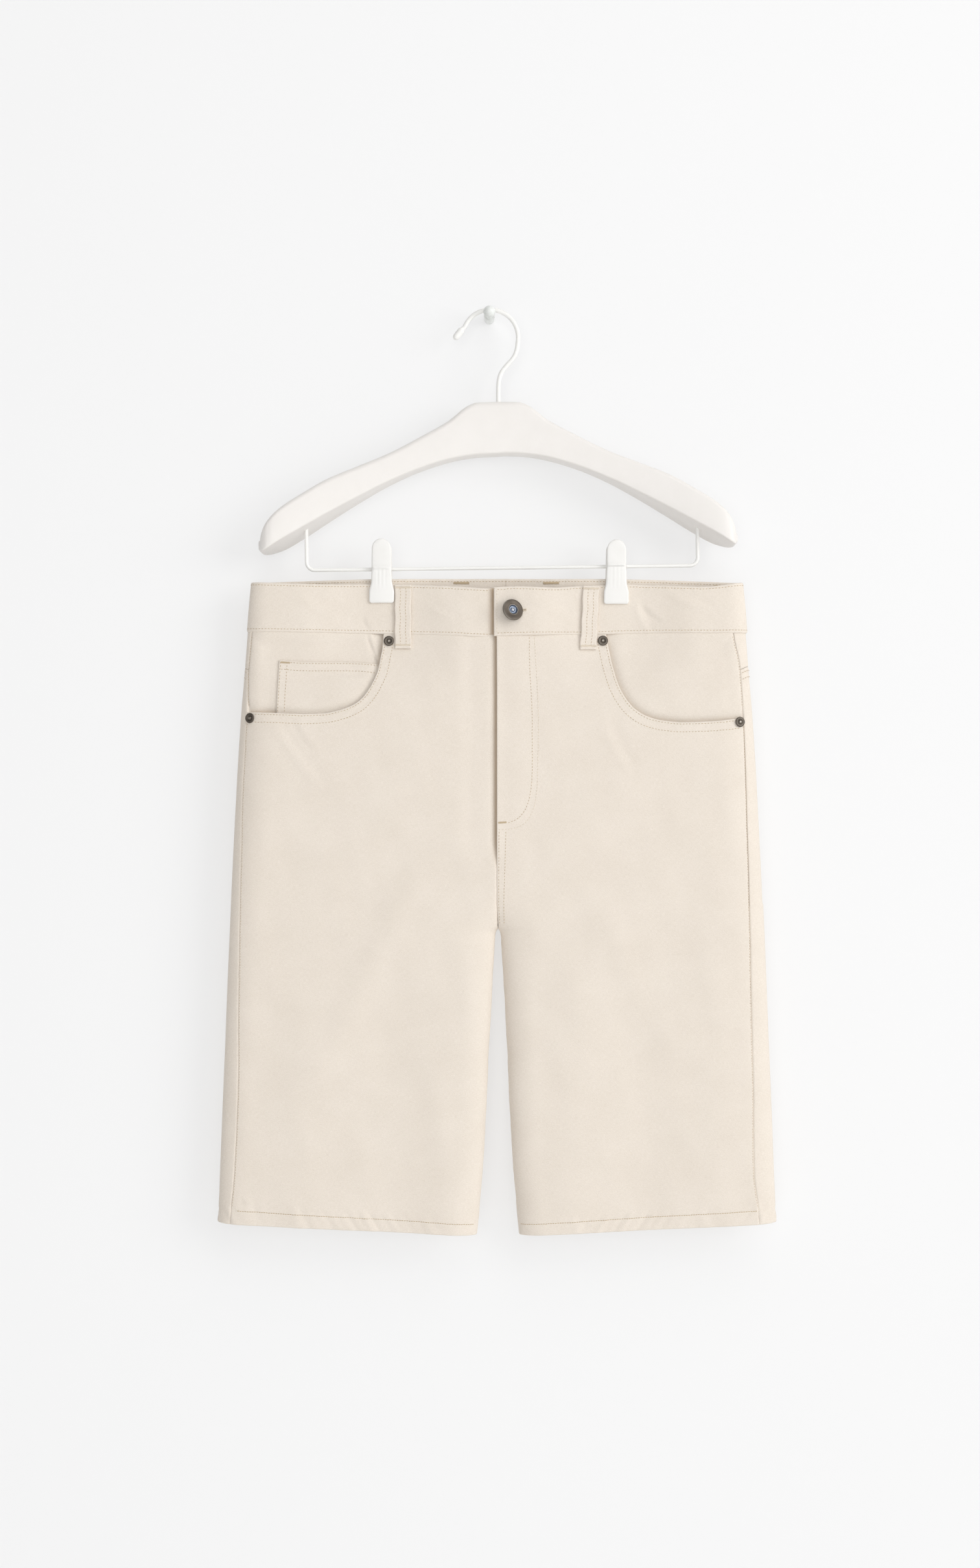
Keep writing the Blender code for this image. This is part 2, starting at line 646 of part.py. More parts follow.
ROWS_TO_CROTCH = (0.0, 0.05, 0.1, 0.155, 0.21, 0.27, 0.33, 0.4, 0.48, 0.57, 0.67, 0.77, 0.86, 0.93, 0.975,
                  1.0)
ROWS_TO_HEM = (0.012, 0.04, 0.1, 0.2, 0.36, 0.52, 0.68, 0.84, 1.0)
HEM_STEP = 0.8                  # height over which the hem thickens
FRONT_WAIST_SHARES = (0.62, 0.72, 0.82, 0.9, 0.955, 0.985, 1.0)
FRONT_HEM_SHARES = (0.0, 0.025, 0.055, 0.09, 0.13, 0.19, 0.25, 0.31, 0.36, 0.41, 0.46, 0.51, 0.59, 0.68, 0.78,
                    0.87, 0.94, 0.98, 1.0)


def front_panel(side, material):
    lap = fly_lap if side == RIGHT else lambda drop: 0.0
    lift = under_fly if side == RIGHT else over_fly

    def outer_edge(drop):
        return side_seam(side, drop) + SEAM_GAP / 2

    def inner_edge(drop):
        return centre_edge(side, FRONT, drop, lap(drop))

    tops = []
    for mouth_share in MOUTH_SHARES:
        across, drop = mouth_point(side, mouth_share)
        share = share_of(side, across, drop, outer_edge, inner_edge) if mouth_share else 0.0
        tops.append((share, drop))
    for share in FRONT_WAIST_SHARES:
        drop = waist_seam(side, FRONT, across_at(side, mix(outer_edge(44), inner_edge(44), share), 44))
        tops.append((share, drop))
    levels = panel_levels(tops[-1][1])
    bottoms = hem_points(side, FRONT_HEM_SHARES, outer_edge, inner_edge)
    places = between(tops, bottoms, levels, outer_edge, inner_edge)
    return cloth_wall("front_" + SIDE_NAMES[side], side, places, material, lift, hem_thickness(levels))


def facing_sink(side, across):
    """Facings lie one layer under the fronts, and the right one two where it carries the coin pocket."""
    start, end = COIN_ZONE
    extra = float(ease((across - start) / (end - start))) if side == RIGHT else 0.0
    return -LAYER * (1 + extra)


def mouth_columns(side):
    """Across places under the front panel's columns along the pocket mouth."""
    return [mouth_point(side, share)[0] for share in MOUTH_SHARES[1:]]


def hip_facing(side, material):
    columns = mouth_columns(side) + [side * FACING_INNER]
    places = []
    for level in FACING_LEVELS:
        edge_drop = mix(waist_seam(side, FRONT, side * half_width(43)), FACING_BOTTOM, level)
        row = [(side_seam(side, edge_drop) + SEAM_GAP, edge_drop)]
        for across in columns:
            drop = mix(waist_seam(side, FRONT, across), FACING_BOTTOM, level)
            row.append((girth_at(side, FRONT, drop, across), drop))
        places.append(row)
    return cloth_wall("hip_facing_" + SIDE_NAMES[side], side, places, material,
                      lambda across, drop: facing_sink(side, across))


def coin_pocket(material):
    columns = [across for across in mouth_columns(RIGHT) if COIN_OUTER[0] + 5 < across < COIN_INNER - 2]
    places = []
    for level in COIN_LEVELS:
        row = []
        for across in [mix(*COIN_OUTER, level)] + columns + [COIN_INNER]:
            share = (across - COIN_OUTER[0]) / (COIN_INNER - COIN_OUTER[0])
            drop = mix(mix(*COIN_TOP, share), COIN_BOTTOM, level)
            row.append((girth_at(RIGHT, FRONT, drop, across), drop))
        places.append(row)
    return cloth_wall("coin_pocket", RIGHT, places, material,
                      lambda across, drop: facing_sink(RIGHT, COIN_INNER) + LAYER)


BACK_SHARES = (0.0, 0.02, 0.045, 0.08, 0.12, 0.17, 0.26, 0.37, 0.48, 0.6, 0.71, 0.81, 0.89, 0.95, 0.985, 1.0)
YOKE_LEVELS = (0.0, 0.33, 0.67, 1.0)


def back_pieces(side, material):
    """Yoke and back panel, from the side seam on the front round the side to the centre seam."""
    def outer_edge(drop):
        return side_seam(side, drop) - SEAM_GAP / 2

    def inner_edge(drop):
        return centre_edge(side, BACK, drop)

    waist = []
    for share in BACK_SHARES:
        girth = mix(outer_edge(41), inner_edge(41), share)
        waist.append((share, waist_seam(side, face_of(girth), across_at(side, girth, 41))))
    yoke_line = [YOKE_SEAM.read("drop", share) for share in BACK_SHARES]
    above = [(share, drop - SEAM_GAP / 2) for share, drop in zip(BACK_SHARES, yoke_line)]
    under = [(share, drop + SEAM_GAP / 2) for share, drop in zip(BACK_SHARES, yoke_line)]
    yoke = between(waist, above, YOKE_LEVELS, outer_edge, inner_edge)
    cloth_wall("yoke_" + SIDE_NAMES[side], side, yoke, material)
    levels = panel_levels(under[-1][1])
    bottoms = hem_points(side, BACK_SHARES, outer_edge, inner_edge)
    panel = between(under, bottoms, levels, outer_edge, inner_edge)
    cloth_wall("back_" + SIDE_NAMES[side], side, panel, material, thickness=hem_thickness(levels))
    back_pocket(side, panel, material)


def over_column(side, panel, column, drop, lift):
    """Point over one column of a panel, on the straight line between two of its rows."""
    drops = [row[column][1] for row in panel]
    below = next(number for number, level in enumerate(drops) if level >= drop)
    start, end = panel[below - 1][column], panel[below][column]
    part = (drop - start[1]) / (end[1] - start[1])
    return cloth_point(side, *start, lift).lerp(cloth_point(side, *end, lift), part)


def back_pocket(side, panel, material):
    """Patch pocket on the back panel, made from the panel's own rows and columns of places."""
    first, last = BACK_POCKET_COLUMNS
    columns = range(first, last + 1)
    tops = []
    bottoms = []
    for column in columns:
        share = (column - first) / (last - first)
        tops.append(mix(*BACK_POCKET_TOP, share))
        bottoms.append(mix(*BACK_POCKET_SIDES, share) + BACK_POCKET_POINT * (1 - abs(2 * share - 1)))
    kept = [row for row in panel if all(top + 4 < row[column][1] < bottom - 4
                                        for column, top, bottom in zip(columns, tops, bottoms))]
    drops = [tops] + [[row[column][1] for column in columns] for row in kept] + [bottoms]
    outer = [[over_column(side, panel, column, drop, LAYER) for column, drop in zip(columns, row)]
             for row in drops]
    inner = [[over_column(side, panel, column, drop, PLY_GAP) for column, drop in zip(columns, row)]
             for row in drops]
    return wall("back_pocket_" + SIDE_NAMES[side], outer, inner, material)


def waistband_columns():
    """Columns of the waistband from its hidden end, round the back, to its upper end."""
    turns = [1 - 2 * step / BAND_TURNS for step in range(BAND_TURNS + 1)]
    columns = [(RIGHT, FRONT, across, None) for across in (BAND_UNDER, 12.0, -2.0)]
    columns += [(RIGHT, FRONT, -step, None) for step in BAND_COLUMNS[RIGHT, FRONT]]
    columns += [(RIGHT, None, None, turn) for turn in turns]
    columns += [(RIGHT, BACK, -step, None) for step in reversed(BAND_COLUMNS[RIGHT, BACK])]
    columns += [(LEFT, BACK, across, None) for across in (CENTRE_LINES.read(BACK, 0),)]
    columns += [(LEFT, BACK, step, None) for step in BAND_COLUMNS[LEFT, BACK]]
    columns += [(LEFT, None, None, turn) for turn in reversed(turns)]
    columns += [(LEFT, FRONT, step, None) for step in reversed(BAND_COLUMNS[LEFT, FRONT])]
    return columns + [(LEFT, FRONT, 9.0, None), (LEFT, FRONT, BAND_OVER, None)]


def band_lift(side, face, across):
    if face != FRONT:
        return BAND_PROUD
    fade = BAND_FADE - BAND_FLAT
    if side == LEFT:
        return BAND_PROUD + BAND_RAISE * float(ease((BAND_FADE - across) / fade))
    return BAND_PROUD - BAND_SINK * float(ease((across + fade) / fade))


def hidden_end_drop(side, face, across):
    if (side, face) != (RIGHT, FRONT):
        return 0.0
    start, lowest, end = UNDER_FADE
    falling = ease((across - start) / (lowest - start))
    rising = ease((end - across) / (end - lowest))
    return UNDER_DROP * float(falling * rising)


def waistband(material):
    outer = []
    inner = []
    for level in (0.0, 0.5, 1.0):
        outer_row = []
        inner_row = []
        for side, face, across, turn in waistband_columns():
            if turn is None:
                edge = WAIST_EDGES[face]
                drop = mix(edge.read("top", across), edge.read("seam", across), level)
                drop += hidden_end_drop(side, face, across)
                girth = girth_at(side, face, drop, across)
            else:
                edge = WAIST_EDGES[face_of(turn)]
                in_fold = BODY.read("fold_reach", 41) * (1 - math.cos(turn * math.pi / 2))
                at_fold = side * (half_width(41) - in_fold)
                drop = mix(edge.read("top", at_fold), edge.read("seam", at_fold), level)
                girths, reaches, _ = profile(side, face_of(turn), drop)
                girth = turn * float(np.interp(BODY.read("fold_reach", drop), reaches, girths))
            lift = band_lift(side, face, across)
            outer_row.append(cloth_point(side, girth, drop, lift))
            inner_row.append(cloth_point(side, girth, drop, lift - BAND_CLOTH))
        outer.append(outer_row)
        inner.append(inner_row)
    return wall("waistband", outer, inner, material)


def belt_loop(name, side, face, top_across, bottom_across, material):
    edge = WAIST_EDGES[face]
    top = edge.read("top", top_across) + 0.4
    seam = edge.read("seam", bottom_across)
    leave, meet = [(seam - top + step) / LOOP_LENGTH for step in LOOP_STEP]
    outer = []
    inner = []
    for share in (*LOOP_SHARES, leave, meet, 1.0):
        drop = top + LOOP_LENGTH * share
        across = mix(top_across, bottom_across, share)
        under = BAND_PROUD if share <= leave else 0.0
        lift = under + PLY_GAP + LOOP_CLOTH + LOOP_SLACK.read("slack", share)
        girths = [girth_at(side, face, drop, across + LOOP_WIDTH * part) for part in (-0.5, 0.0, 0.5)]
        outer.append([cloth_point(side, girth, drop, lift) for girth in girths])
        inner.append([cloth_point(side, girth, drop, lift - LOOP_CLOTH) for girth in girths])
    return wall("belt_loop_" + name, outer, inner, material)


# ---------------------------------------------------------------- metal

def standing_on(point, normal):
    """Place whose Z axis is a surface's normal, with its foot one gap off the surface."""
    turn = normal.to_track_quat("Z", "X").to_matrix().to_4x4()
    return Matrix.Translation((point + normal * SEAM_GAP) * MM) @ turn


def rivet(name, side, across, drop, material):
    girth = girth_at(side, FRONT, drop, across)
    foot = cloth_point(side, girth, drop, RIVET_PROUD)
    return turned("rivet_" + name, RIVET_PROFILE, 14, standing_on(foot, outward(side, girth, drop)), material)


def waist_button(material):
    girth = girth_at(LEFT, FRONT, BUTTON_DROP, BUTTON_ACROSS)
    lift = band_lift(LEFT, FRONT, BUTTON_ACROSS)
    foot = cloth_point(LEFT, girth, BUTTON_DROP, lift)
    place = standing_on(foot, outward(LEFT, girth, BUTTON_DROP))
    outline = [*BUTTON_FOOT, *((radius, BUTTON_SHANK + height) for radius, height in BUTTON_CAP)]
    button = turned("waist_button", outline, 20, place, material)
    up, leftwards = BUTTON_TILT
    tilt = (Matrix.Rotation(leftwards, 3, "Z") @ Matrix.Rotation(-up, 3, "X")).to_quaternion()
    own_tilt = place.to_quaternion().inverted() @ tilt @ place.to_quaternion()
    for vertex in button.data.vertices:
        share = min(vertex.co.z / (BUTTON_SHANK * MM), 1.0)
        vertex.co.rotate(Quaternion().slerp(own_tilt, share))
    return button


# ---------------------------------------------------------------- hanger and peg

def hanger_section(reach):
    """Outline of the hanger at a reach from its middle: (y, z) points, round at the top edges."""
    far = abs(reach)
    stretch = HANGER_STRETCH[side_of(reach)]
    top = -HANGER_HALF.read("top", far) * stretch
    front_bottom = -HANGER_HALF.read("front_bottom", far) * stretch
    back_bottom = -HANGER_HALF.read("back_bottom", far) * stretch
    front = HANGER_HALF.read("front_y", far)
    back = HANGER_HALF.read("back_y", far)
    most = (top - max(front_bottom, back_bottom)) * 0.3
    round_top = min(HANGER_ROUND_TOP, most)
    round_bottom = min(HANGER_ROUND_BOTTOM, most)
    points = []
    for turn in (0, 30, 60, 90):
        angle = math.radians(turn)
        points.append((back - round_top * (1 - math.cos(angle)), top - round_top * (1 - math.sin(angle))))
    for turn in (90, 60, 30, 0):
        angle = math.radians(turn)
        points.append((front + round_top * (1 - math.cos(angle)), top - round_top * (1 - math.sin(angle))))
    points += [(front, front_bottom + round_bottom), (front + round_bottom, front_bottom)]
    points += [(back - round_bottom, back_bottom), (back, back_bottom + round_bottom)]
    return points


def hanger_body(material):
    tool = bmesh.new()
    stations = [-reach for reach in reversed(HANGER_STATIONS[1:])] + list(HANGER_STATIONS)
    rings = []
    for reach in stations:
        x = reach * HANGER_STRETCH[side_of(reach)]
        rings.append([tool.verts.new(Vector((x, y, z)) * MM) for y, z in hanger_section(reach)])
    for ring, following in zip(rings, rings[1:]):
        for number in range(len(ring)):
            after = (number + 1) % len(ring)
            tool.faces.new((ring[number], ring[after], following[after], following[number]))
    tool.faces.new(rings[0])
    tool.faces.new(rings[-1])
    return finish("hanger_body", tool, material)


def drill(piece, name, middle, radius, depth):
    """Round hole along Z with its middle and depth in the piece's own place."""
    bpy.ops.mesh.primitive_cylinder_add(vertices=12, radius=radius * MM, depth=depth * MM)
    cutter = bpy.context.object
    cutter.name = name
    cutter.parent = piece.parent
    cutter.location = Vector(middle) * MM
    cutter.hide_render = True
    cutter.display_type = "WIRE"
    cut = piece.modifiers.new(name, "BOOLEAN")
    cut.operation = "DIFFERENCE"
    cut.solver = "EXACT"
    cut.object = cutter


def bar_points():
    """Route of the bar: up into the hanger at both ends, with round corners."""
    left_end, right_end = BAR_REACH
    points = [(left_end, MIDDLE_Y, -BAR_END_DEPTH), (left_end, MIDDLE_Y, -BAR_DEPTH + BAR_CORNER * 2)]
    for middle, start in ((left_end + BAR_CORNER, 180), (right_end - BAR_CORNER, 270)):
        for step in range(BAR_CORNER_STEPS + 1):
            angle = math.radians(start + 90 * step / BAR_CORNER_STEPS)
            points.append((middle + BAR_CORNER * math.cos(angle), MIDDLE_Y,
                           -BAR_DEPTH + BAR_CORNER * (1 + math.sin(angle))))
    points.append((right_end, MIDDLE_Y, -BAR_DEPTH + BAR_CORNER * 2))
    return points + [(right_end, MIDDLE_Y, -BAR_END_DEPTH)]


def hook_points():
    start, end = HOOK_ARC
    middle_x, middle_z = HOOK_ARC_MIDDLE
    points = [(x, HOOK_Y, z) for x, z, _ in HOOK_TIP_POINTS]
    thickness = [radius for _, _, radius in HOOK_TIP_POINTS]
    steps = 18
    for step in range(steps + 1):
        angle = math.radians(mix(start, end, step / steps))
        points.append((middle_x + HOOK_ARC_RADIUS * math.cos(angle), HOOK_Y,
                       middle_z + HOOK_ARC_RADIUS * math.sin(angle)))
    points += [(x, HOOK_Y, z) for x, z in HOOK_STEM_POINTS]
    return points, thickness + [HOOK_WIRE] * (len(points) - len(thickness))


def hanger(materials):
    middle = bpy.data.objects.new("hanger", None)
    bpy.context.collection.objects.link(middle)
    middle.location = Vector((HANGER_X, 0, HANGER_TOP_Z)) * MM
    middle.rotation_euler.y = HANGER_TILT
    body = hanger_body(materials["white_lacquer"])
    body.parent = middle
    bar = wire("trouser_bar", bar_points(), BAR_WIRE, materials["white_wire"])
    bar.parent = middle
    hole_depth = 60.0
    for end, reach in zip(("right", "left"), BAR_REACH):
        drill_middle = -BAR_END_DEPTH + HOLE_CLEARANCE - hole_depth / 2
        drill(body, "bar_hole_" + end, (reach, MIDDLE_Y, drill_middle), BAR_WIRE + HOLE_CLEARANCE, hole_depth)
    points, thickness = hook_points()
    wire("hanger_hook", points, HOOK_WIRE, materials["white_wire"], thickness)
    stem_x, stem_end = HOOK_STEM_POINTS[-1]
    hole_bottom = stem_end - HANGER_TOP_Z - HOLE_CLEARANCE
    drill(body, "hook_hole", (stem_x - HANGER_X, HOOK_Y, hole_bottom + hole_depth / 2),
          HOOK_WIRE + HOLE_CLEARANCE, hole_depth)


def clip_jaw(side, face, material):
    """One jaw of a clip: a grip below, a pad on the bar and a lever above."""
    bar = CLIP_BAR_HEIGHT[side]
    pad = BAR_WIRE + SEAM_GAP
    pad_heights = [bar - CLIP_SEAT - 1.6, bar - CLIP_SEAT, bar + CLIP_SEAT, bar + CLIP_SEAT + 1.6]
    heights = sorted(list(CLIP_HEIGHTS) + pad_heights)
    outer = []
    inner = []
    for height in heights:
        wide = CLIP_SHAPE.read("half_width", height)
        near = pad if height in pad_heights[1:3] else CLIP_SHAPE.read("inner", height)
        far = CLIP_SHAPE.read("outer", height)
        outer_row = []
        inner_row = []
        for step in range(CLIP_ACROSS_STEPS + 1):
            part = 2 * step / CLIP_ACROSS_STEPS - 1
            x = CENTRE_X + CLIP_ACROSS[side] + wide * part
            z = CLIP_BOTTOM_Z[side] + height
            outer_row.append(Vector((x, MIDDLE_Y - face * (far - CLIP_CROWN * part * part), z)))
            inner_row.append(Vector((x, MIDDLE_Y - face * near, z)))
        outer.append(outer_row)
        inner.append(inner_row)
    face_name = "front" if face == FRONT else "back"
    return wall("clip_%s_%s" % (SIDE_NAMES[side], face_name), outer, inner, material)


def wall_peg(material):
    outline = [(0, 0), *PEG_PROFILE]
    first = math.asin(PEG_NECK / PEG_HEAD)
    for step in range(1, PEG_HEAD_STEPS + 1):
        angle = mix(first, math.pi, step / PEG_HEAD_STEPS)
        radius = PEG_HEAD * math.sin(angle) if step < PEG_HEAD_STEPS else 0
        outline.append((radius, PEG_HEAD_Y - PEG_HEAD * math.cos(angle)))
    return turned("wall_peg", outline, 20, Matrix.Rotation(math.radians(90), 4, "X"), material)


def main():
    for leftover in list(bpy.data.objects):
        bpy.data.objects.remove(leftover)
    materials = make_materials()
    twill = materials["cotton_twill"]
    metal = materials["dark_metal"]
    for side in (RIGHT, LEFT):
        front_panel(side, twill)
        hip_facing(side, twill)
        back_pieces(side, twill)
        for face in (FRONT, BACK):
            clip_jaw(side, face, materials["white_plastic"])
    coin_pocket(twill)
    waistband(twill)
    for row in LOOPS:
        belt_loop(*row, twill)
    for row in RIVETS:
        rivet(*row, metal)
    waist_button(metal)
    hanger(materials)
    wall_peg(materials["white_plastic"])


main()
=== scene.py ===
"""Bermuda shorts on a clip hanger: cloth, sewing, metal, hanger and peg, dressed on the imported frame.

Lengths are millimetres until a mesh is made. Right and left are the wearer's, and right is at -X.
Places on the shorts are given by "across", from their middle line, by "drop", down from the waist, and by
"girth", which is counted round the cloth from each side: forward is positive, back is negative.
"""
import math

import bpy
import numpy as np
from mathutils import Matrix, Quaternion, Vector


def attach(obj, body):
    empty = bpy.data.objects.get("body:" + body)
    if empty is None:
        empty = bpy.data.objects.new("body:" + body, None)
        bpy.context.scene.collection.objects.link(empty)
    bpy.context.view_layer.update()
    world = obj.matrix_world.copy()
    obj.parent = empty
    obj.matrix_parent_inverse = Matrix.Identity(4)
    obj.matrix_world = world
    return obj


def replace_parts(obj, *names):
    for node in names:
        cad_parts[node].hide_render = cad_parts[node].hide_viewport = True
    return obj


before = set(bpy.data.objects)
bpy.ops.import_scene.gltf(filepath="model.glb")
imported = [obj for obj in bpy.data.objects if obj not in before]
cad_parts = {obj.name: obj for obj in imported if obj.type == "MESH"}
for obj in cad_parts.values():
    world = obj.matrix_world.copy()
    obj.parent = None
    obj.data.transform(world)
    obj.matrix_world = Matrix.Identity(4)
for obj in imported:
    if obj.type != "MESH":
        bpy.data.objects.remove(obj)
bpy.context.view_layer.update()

MM = 0.001
RIGHT = -1
LEFT = 1
FRONT = 1
BACK = -1
SIDE_NAMES = {RIGHT: "right", LEFT: "left"}
FACE_NAMES = {FRONT: "front", BACK: "back"}


# -------------------- measurements

class Table:
    """Measurements with named columns, read along the first one by smooth curves that don't overshoot."""

    def __init__(self, columns, rows):
        values = np.array(rows, dtype=float).T
        self.places = values[0]
        self.columns = dict(zip(columns, values))
        self.slopes = {name: self.slopes_of(column) for name, column in self.columns.items()}

    def slopes_of(self, column):
        """Slope at each row: level where the values turn back, else between those beside it."""
        steps = np.diff(column) / np.diff(self.places)
        slopes = [steps[0]]
        for before, after in zip(steps[:-1], steps[1:]):
            turns_back = before * after <= 0
            slopes.append(0.0 if turns_back else 2 * before * after / (before + after))
        slopes.append(steps[-1])
        return np.array(slopes)

    def read(self, name, places):
        """Values of a column; beyond the first and last row they stay as they are there."""
        places = np.clip(places, self.places[0], self.places[-1])
        row = np.searchsorted(self.places, places, side="right") - 1
        row = np.clip(row, 0, len(self.places) - 2)
        span = self.places[row + 1] - self.places[row]
        part = (places - self.places[row]) / span
        rest = 1 - part
        start, end = self.columns[name][row], self.columns[name][row + 1]
        leave, arrive = self.slopes[name][row], self.slopes[name][row + 1]
        return (start * rest * rest * (1 + 2 * part) + end * part * part * (3 - 2 * part)
                + span * part * rest * (leave * rest - arrive * part))


# Where the middle of the waist hangs
CENTRE_X = 6.85
MIDDLE_Y = -31.0
WAIST_Z = -243.0

# Thickness of the cloth, sewn double or more at the hem, in the waistband and in the belt loops
CLOTH = 1.4
HEM_CLOTH = 2.8
BAND_CLOTH = 2.6
LOOP_CLOTH = 1.8
PLY_GAP = 0.45  # air between two layers
LAYER = CLOTH + PLY_GAP
BAND_PROUD = 0.8  # the waistband's outer face stands this far out from the panels'
TUCK = 2.6  # a panel reaches this far under its neighbour at a seam
TUCK_SINK = 1.55  # and lies this much lower there

# Form of the cloth: half its width and depth, how far in from its side the fold reaches, and how far in
# from the side the seam on each side runs
BODY = Table(("drop", "half_width", "half_depth", "fold_reach", "seam_right", "seam_left"), (
    (-9, 216.5, 7.2, 13, 3.8, 12.8),
    (0, 217.2, 7.5, 14, 3.8, 12.8),
    (41, 220.7, 9.5, 20, 3.8, 12.6),
    (74, 223.2, 13.0, 27, 3.4, 8.6),
    (113, 226.5, 16.0, 34, 6.2, 9.5),
    (170, 230.2, 16.0, 34, 6.5, 11.0),
    (235, 233.5, 15.0, 31, 8.2, 12.5),
    (304, 236.7, 14.0, 28, 9.8, 14.0),
    (380, 239.8, 13.0, 26, 12.0, 15.6),
    (455, 242.8, 12.5, 25, 14.4, 17.1),
    (520, 245.4, 12.2, 24, 13.9, 19.0),
    (550, 246.6, 12.0, 24, 12.2, 16.5),
    (576, 247.4, 12.0, 24, 11.0, 15.6),
))
CROTCH = 304.0
CROTCH_ACROSS = 0.9
LEGS = Table(("drop", "half_gap"), (  # between the legs
    (CROTCH, 0.2), (306.5, 1.9), (312, 2.7), (341, 4.3), (398, 7.4), (455, 10.0), (512, 13.2), (541, 15.6),
    (576, 18.4),
))
INSEAM = Table(("drop", "fold_reach"), (  # how far out from a leg's inseam its fold reaches
    (200, 44.0), (CROTCH, 40.0), (330, 31.0), (380, 25.0), (576, 22.0),
))
VIRTUAL_GAP = 150.0  # above the crotch each half runs on past the middle line, up to this far
CENTRE_LINES = Table(("drop", FRONT, BACK), (  # across places of the front and back centre seam
    (0, -0.5, 6.3), (42, -0.5, 6.3), (97, -0.3, 5.8), (280, -0.3, 1.6), (CROTCH, 0.9, 0.9), (320, 0.9, 0.9),
))
HEM_OUTER_DROP = 563.2
HEM_INNER_DROP = 574.2
HEM_DEPTH = 13.6  # from a leg's edge up to where its hem is turned in
SEAT_DEPTH = 2.0  # the back is this much fuller over the seat
SEAT_DROPS = (70, 170, 300)  # where that starts, is greatest and ends

# The waistband's top edge and its seam with the panels
WAIST_FRONT = Table(("across", "top", "seam"), (
    (-220.7, -2.8, 41.2), (-192, -1.8, 41.6), (-152, -1.0, 42.2), (-112, -1.4, 42.8), (-90, -1.2, 43.2),
    (-50, 0.4, 44.2), (-3, 2.0, 45.6), (16, 1.2, 45.0), (30, 1.5, 44.6), (48, 2.0, 44.2), (76, 0.2, 44.0),
    (116, -1.0, 42.8), (148, 0.0, 42.4), (183, 1.3, 42.7), (220.7, -2.8, 42.3),
))
WAIST_BACK = Table(("across", "top", "seam"), (
    (-220.7, -2.8, 41.2), (-180, -4.4, 38.4), (-110, -5.9, 36.8), (6, -6.7, 36.0), (110, -5.9, 36.8),
    (180, -4.4, 38.8), (220.7, -2.8, 42.3),
))
WAIST_EDGES = {FRONT: WAIST_FRONT, BACK: WAIST_BACK}

# The clips press front and back together; beside and below them the cloth opens again
CLIP_ACROSS = {RIGHT: -102.0, LEFT: 105.3}
PINCHED_DEPTH = 2.0
PINCH_FLAT = 13.0  # half the pressed width
PINCH_FADE = 62.0  # and how far beside it the cloth opens
PINCH_DROPS = (20.0, 104.0)  # opens from the first to the second

# Soft folds: across place at the top, lean from there to the bottom, drops of both, half width, and rise
FOLDS = {
    FRONT: (
        (-166, -10, 330, 600, 24, 1.6), (-96, 6, 300, 600, 26, -1.4), (-52, 10, 400, 600, 15, 1.2),
        (74, -12, 290, 600, 24, 1.5), (128, 4, 330, 600, 22, -1.5), (190, 8, 180, 600, 20, 1.1),
        (-60, -90, 230, 420, 15, 1.1), (66, 84, 236, 410, 15, 1.0),
    ),
    BACK: (
        (-140, 16, 190, 600, 26, 2.2), (-70, 4, 280, 600, 20, -1.6), (82, 10, 210, 600, 24, 2.0),
        (156, 6, 250, 600, 26, -1.8), (-46, -110, 278, 400, 16, 1.6), (52, 104, 282, 400, 16, 1.6),
    ),
}

# Creases, listed one by one: across and drop of both ends, half width, and rise
CREASES = {
    FRONT: (
        (-62, 17, -36, 31, 3.0, 0.5), (-119, 28, -112, 40, 1.8, -0.8), (-115, 43, -104, 68, 1.9, -1.15),
        (-140, 80, -108, 80.5, 1.9, 0.7), (122, 14, 134, 44, 3.6, 0.55), (126, 18, 146, 34, 2.8, -0.7),
        (150, 6, 190, 24, 3.6, 0.6), (-174, 12, -140, 30, 4.4, 0.5), (30, 14, 74, 30, 4.4, 0.5),
        (-196, 124, -156, 178, 4.4, 0.55), (-182, 118, -160, 150, 3.0, -0.4),
        (92, 122, 118, 170, 4.8, 0.45), (-222, 544, -214, 566, 4.0, 0.6),
        (-226, 541, -218, 549, 2.6, -0.6), (-180, 548, -168, 574, 4.0, 0.7),
        (-118, 552, -108, 574, 3.6, 0.5), (-64, 556, -52, 576, 3.4, 0.5), (66, 558, 78, 576, 3.6, 0.5),
        (178, 552, 190, 572, 4.0, 0.5), (226, 540, 236, 562, 3.4, 0.5),
    ),
    BACK: (
        (-96, 20, -84, 60, 5.0, 0.6), (108, 14, 122, 58, 5.0, 0.6), (-160, 180, -90, 214, 8.0, 0.7),
        (70, 196, 150, 170, 8.0, 0.7),
    ),
}

# Pocket mouths, from the side seam to the waistband, and where along them the panel's columns end
MOUTHS = {
    RIGHT: ((-223.0, 112.2), (-190, 113.2), (-171, 114.0), (-153, 113.4), (-137, 110.0), (-124, 104.3),
            (-115, 95.2), (-108.5, 83.8), (-105, 75.0), (-103, 64.0), (-101, 53.0), (-100.4, 43.3)),
    LEFT: ((216.5, 117.4), (189, 120.3), (162, 121.2), (144, 119.4), (131, 115.7), (118, 106.6),
           (107.6, 90.0), (102, 72.2), (98.6, 56.0), (96.4, 43.7)),
}
MOUTH_SHARES = (0.0, 0.055, 0.12, 0.19, 0.27, 0.4, 0.5, 0.59, 0.68, 0.77, 0.88, 1.0)
MOUTH_HOLLOW = 2.0  # the facing falls away from the mouth's edge
FACING_OUTER = 220.0  # across place of its outer edge, about, and of its inner edge
FACING_INNER = 87.0
FACING_BOTTOM = 132.0
FACING_SIZE = (130.0, 90.0)  # about its width and length, for its grid
FACING_STEP = 1.4
COIN_OUTER = (-192.0, -195.2)  # across place of its outer edge, above and below
COIN_INNER = -95.0
COIN_TOP = (66.0, 69.2)  # drop of its top edge, outside and inside
COIN_BOTTOM = 125.0
COIN_SIZE = (100.0, 57.0)
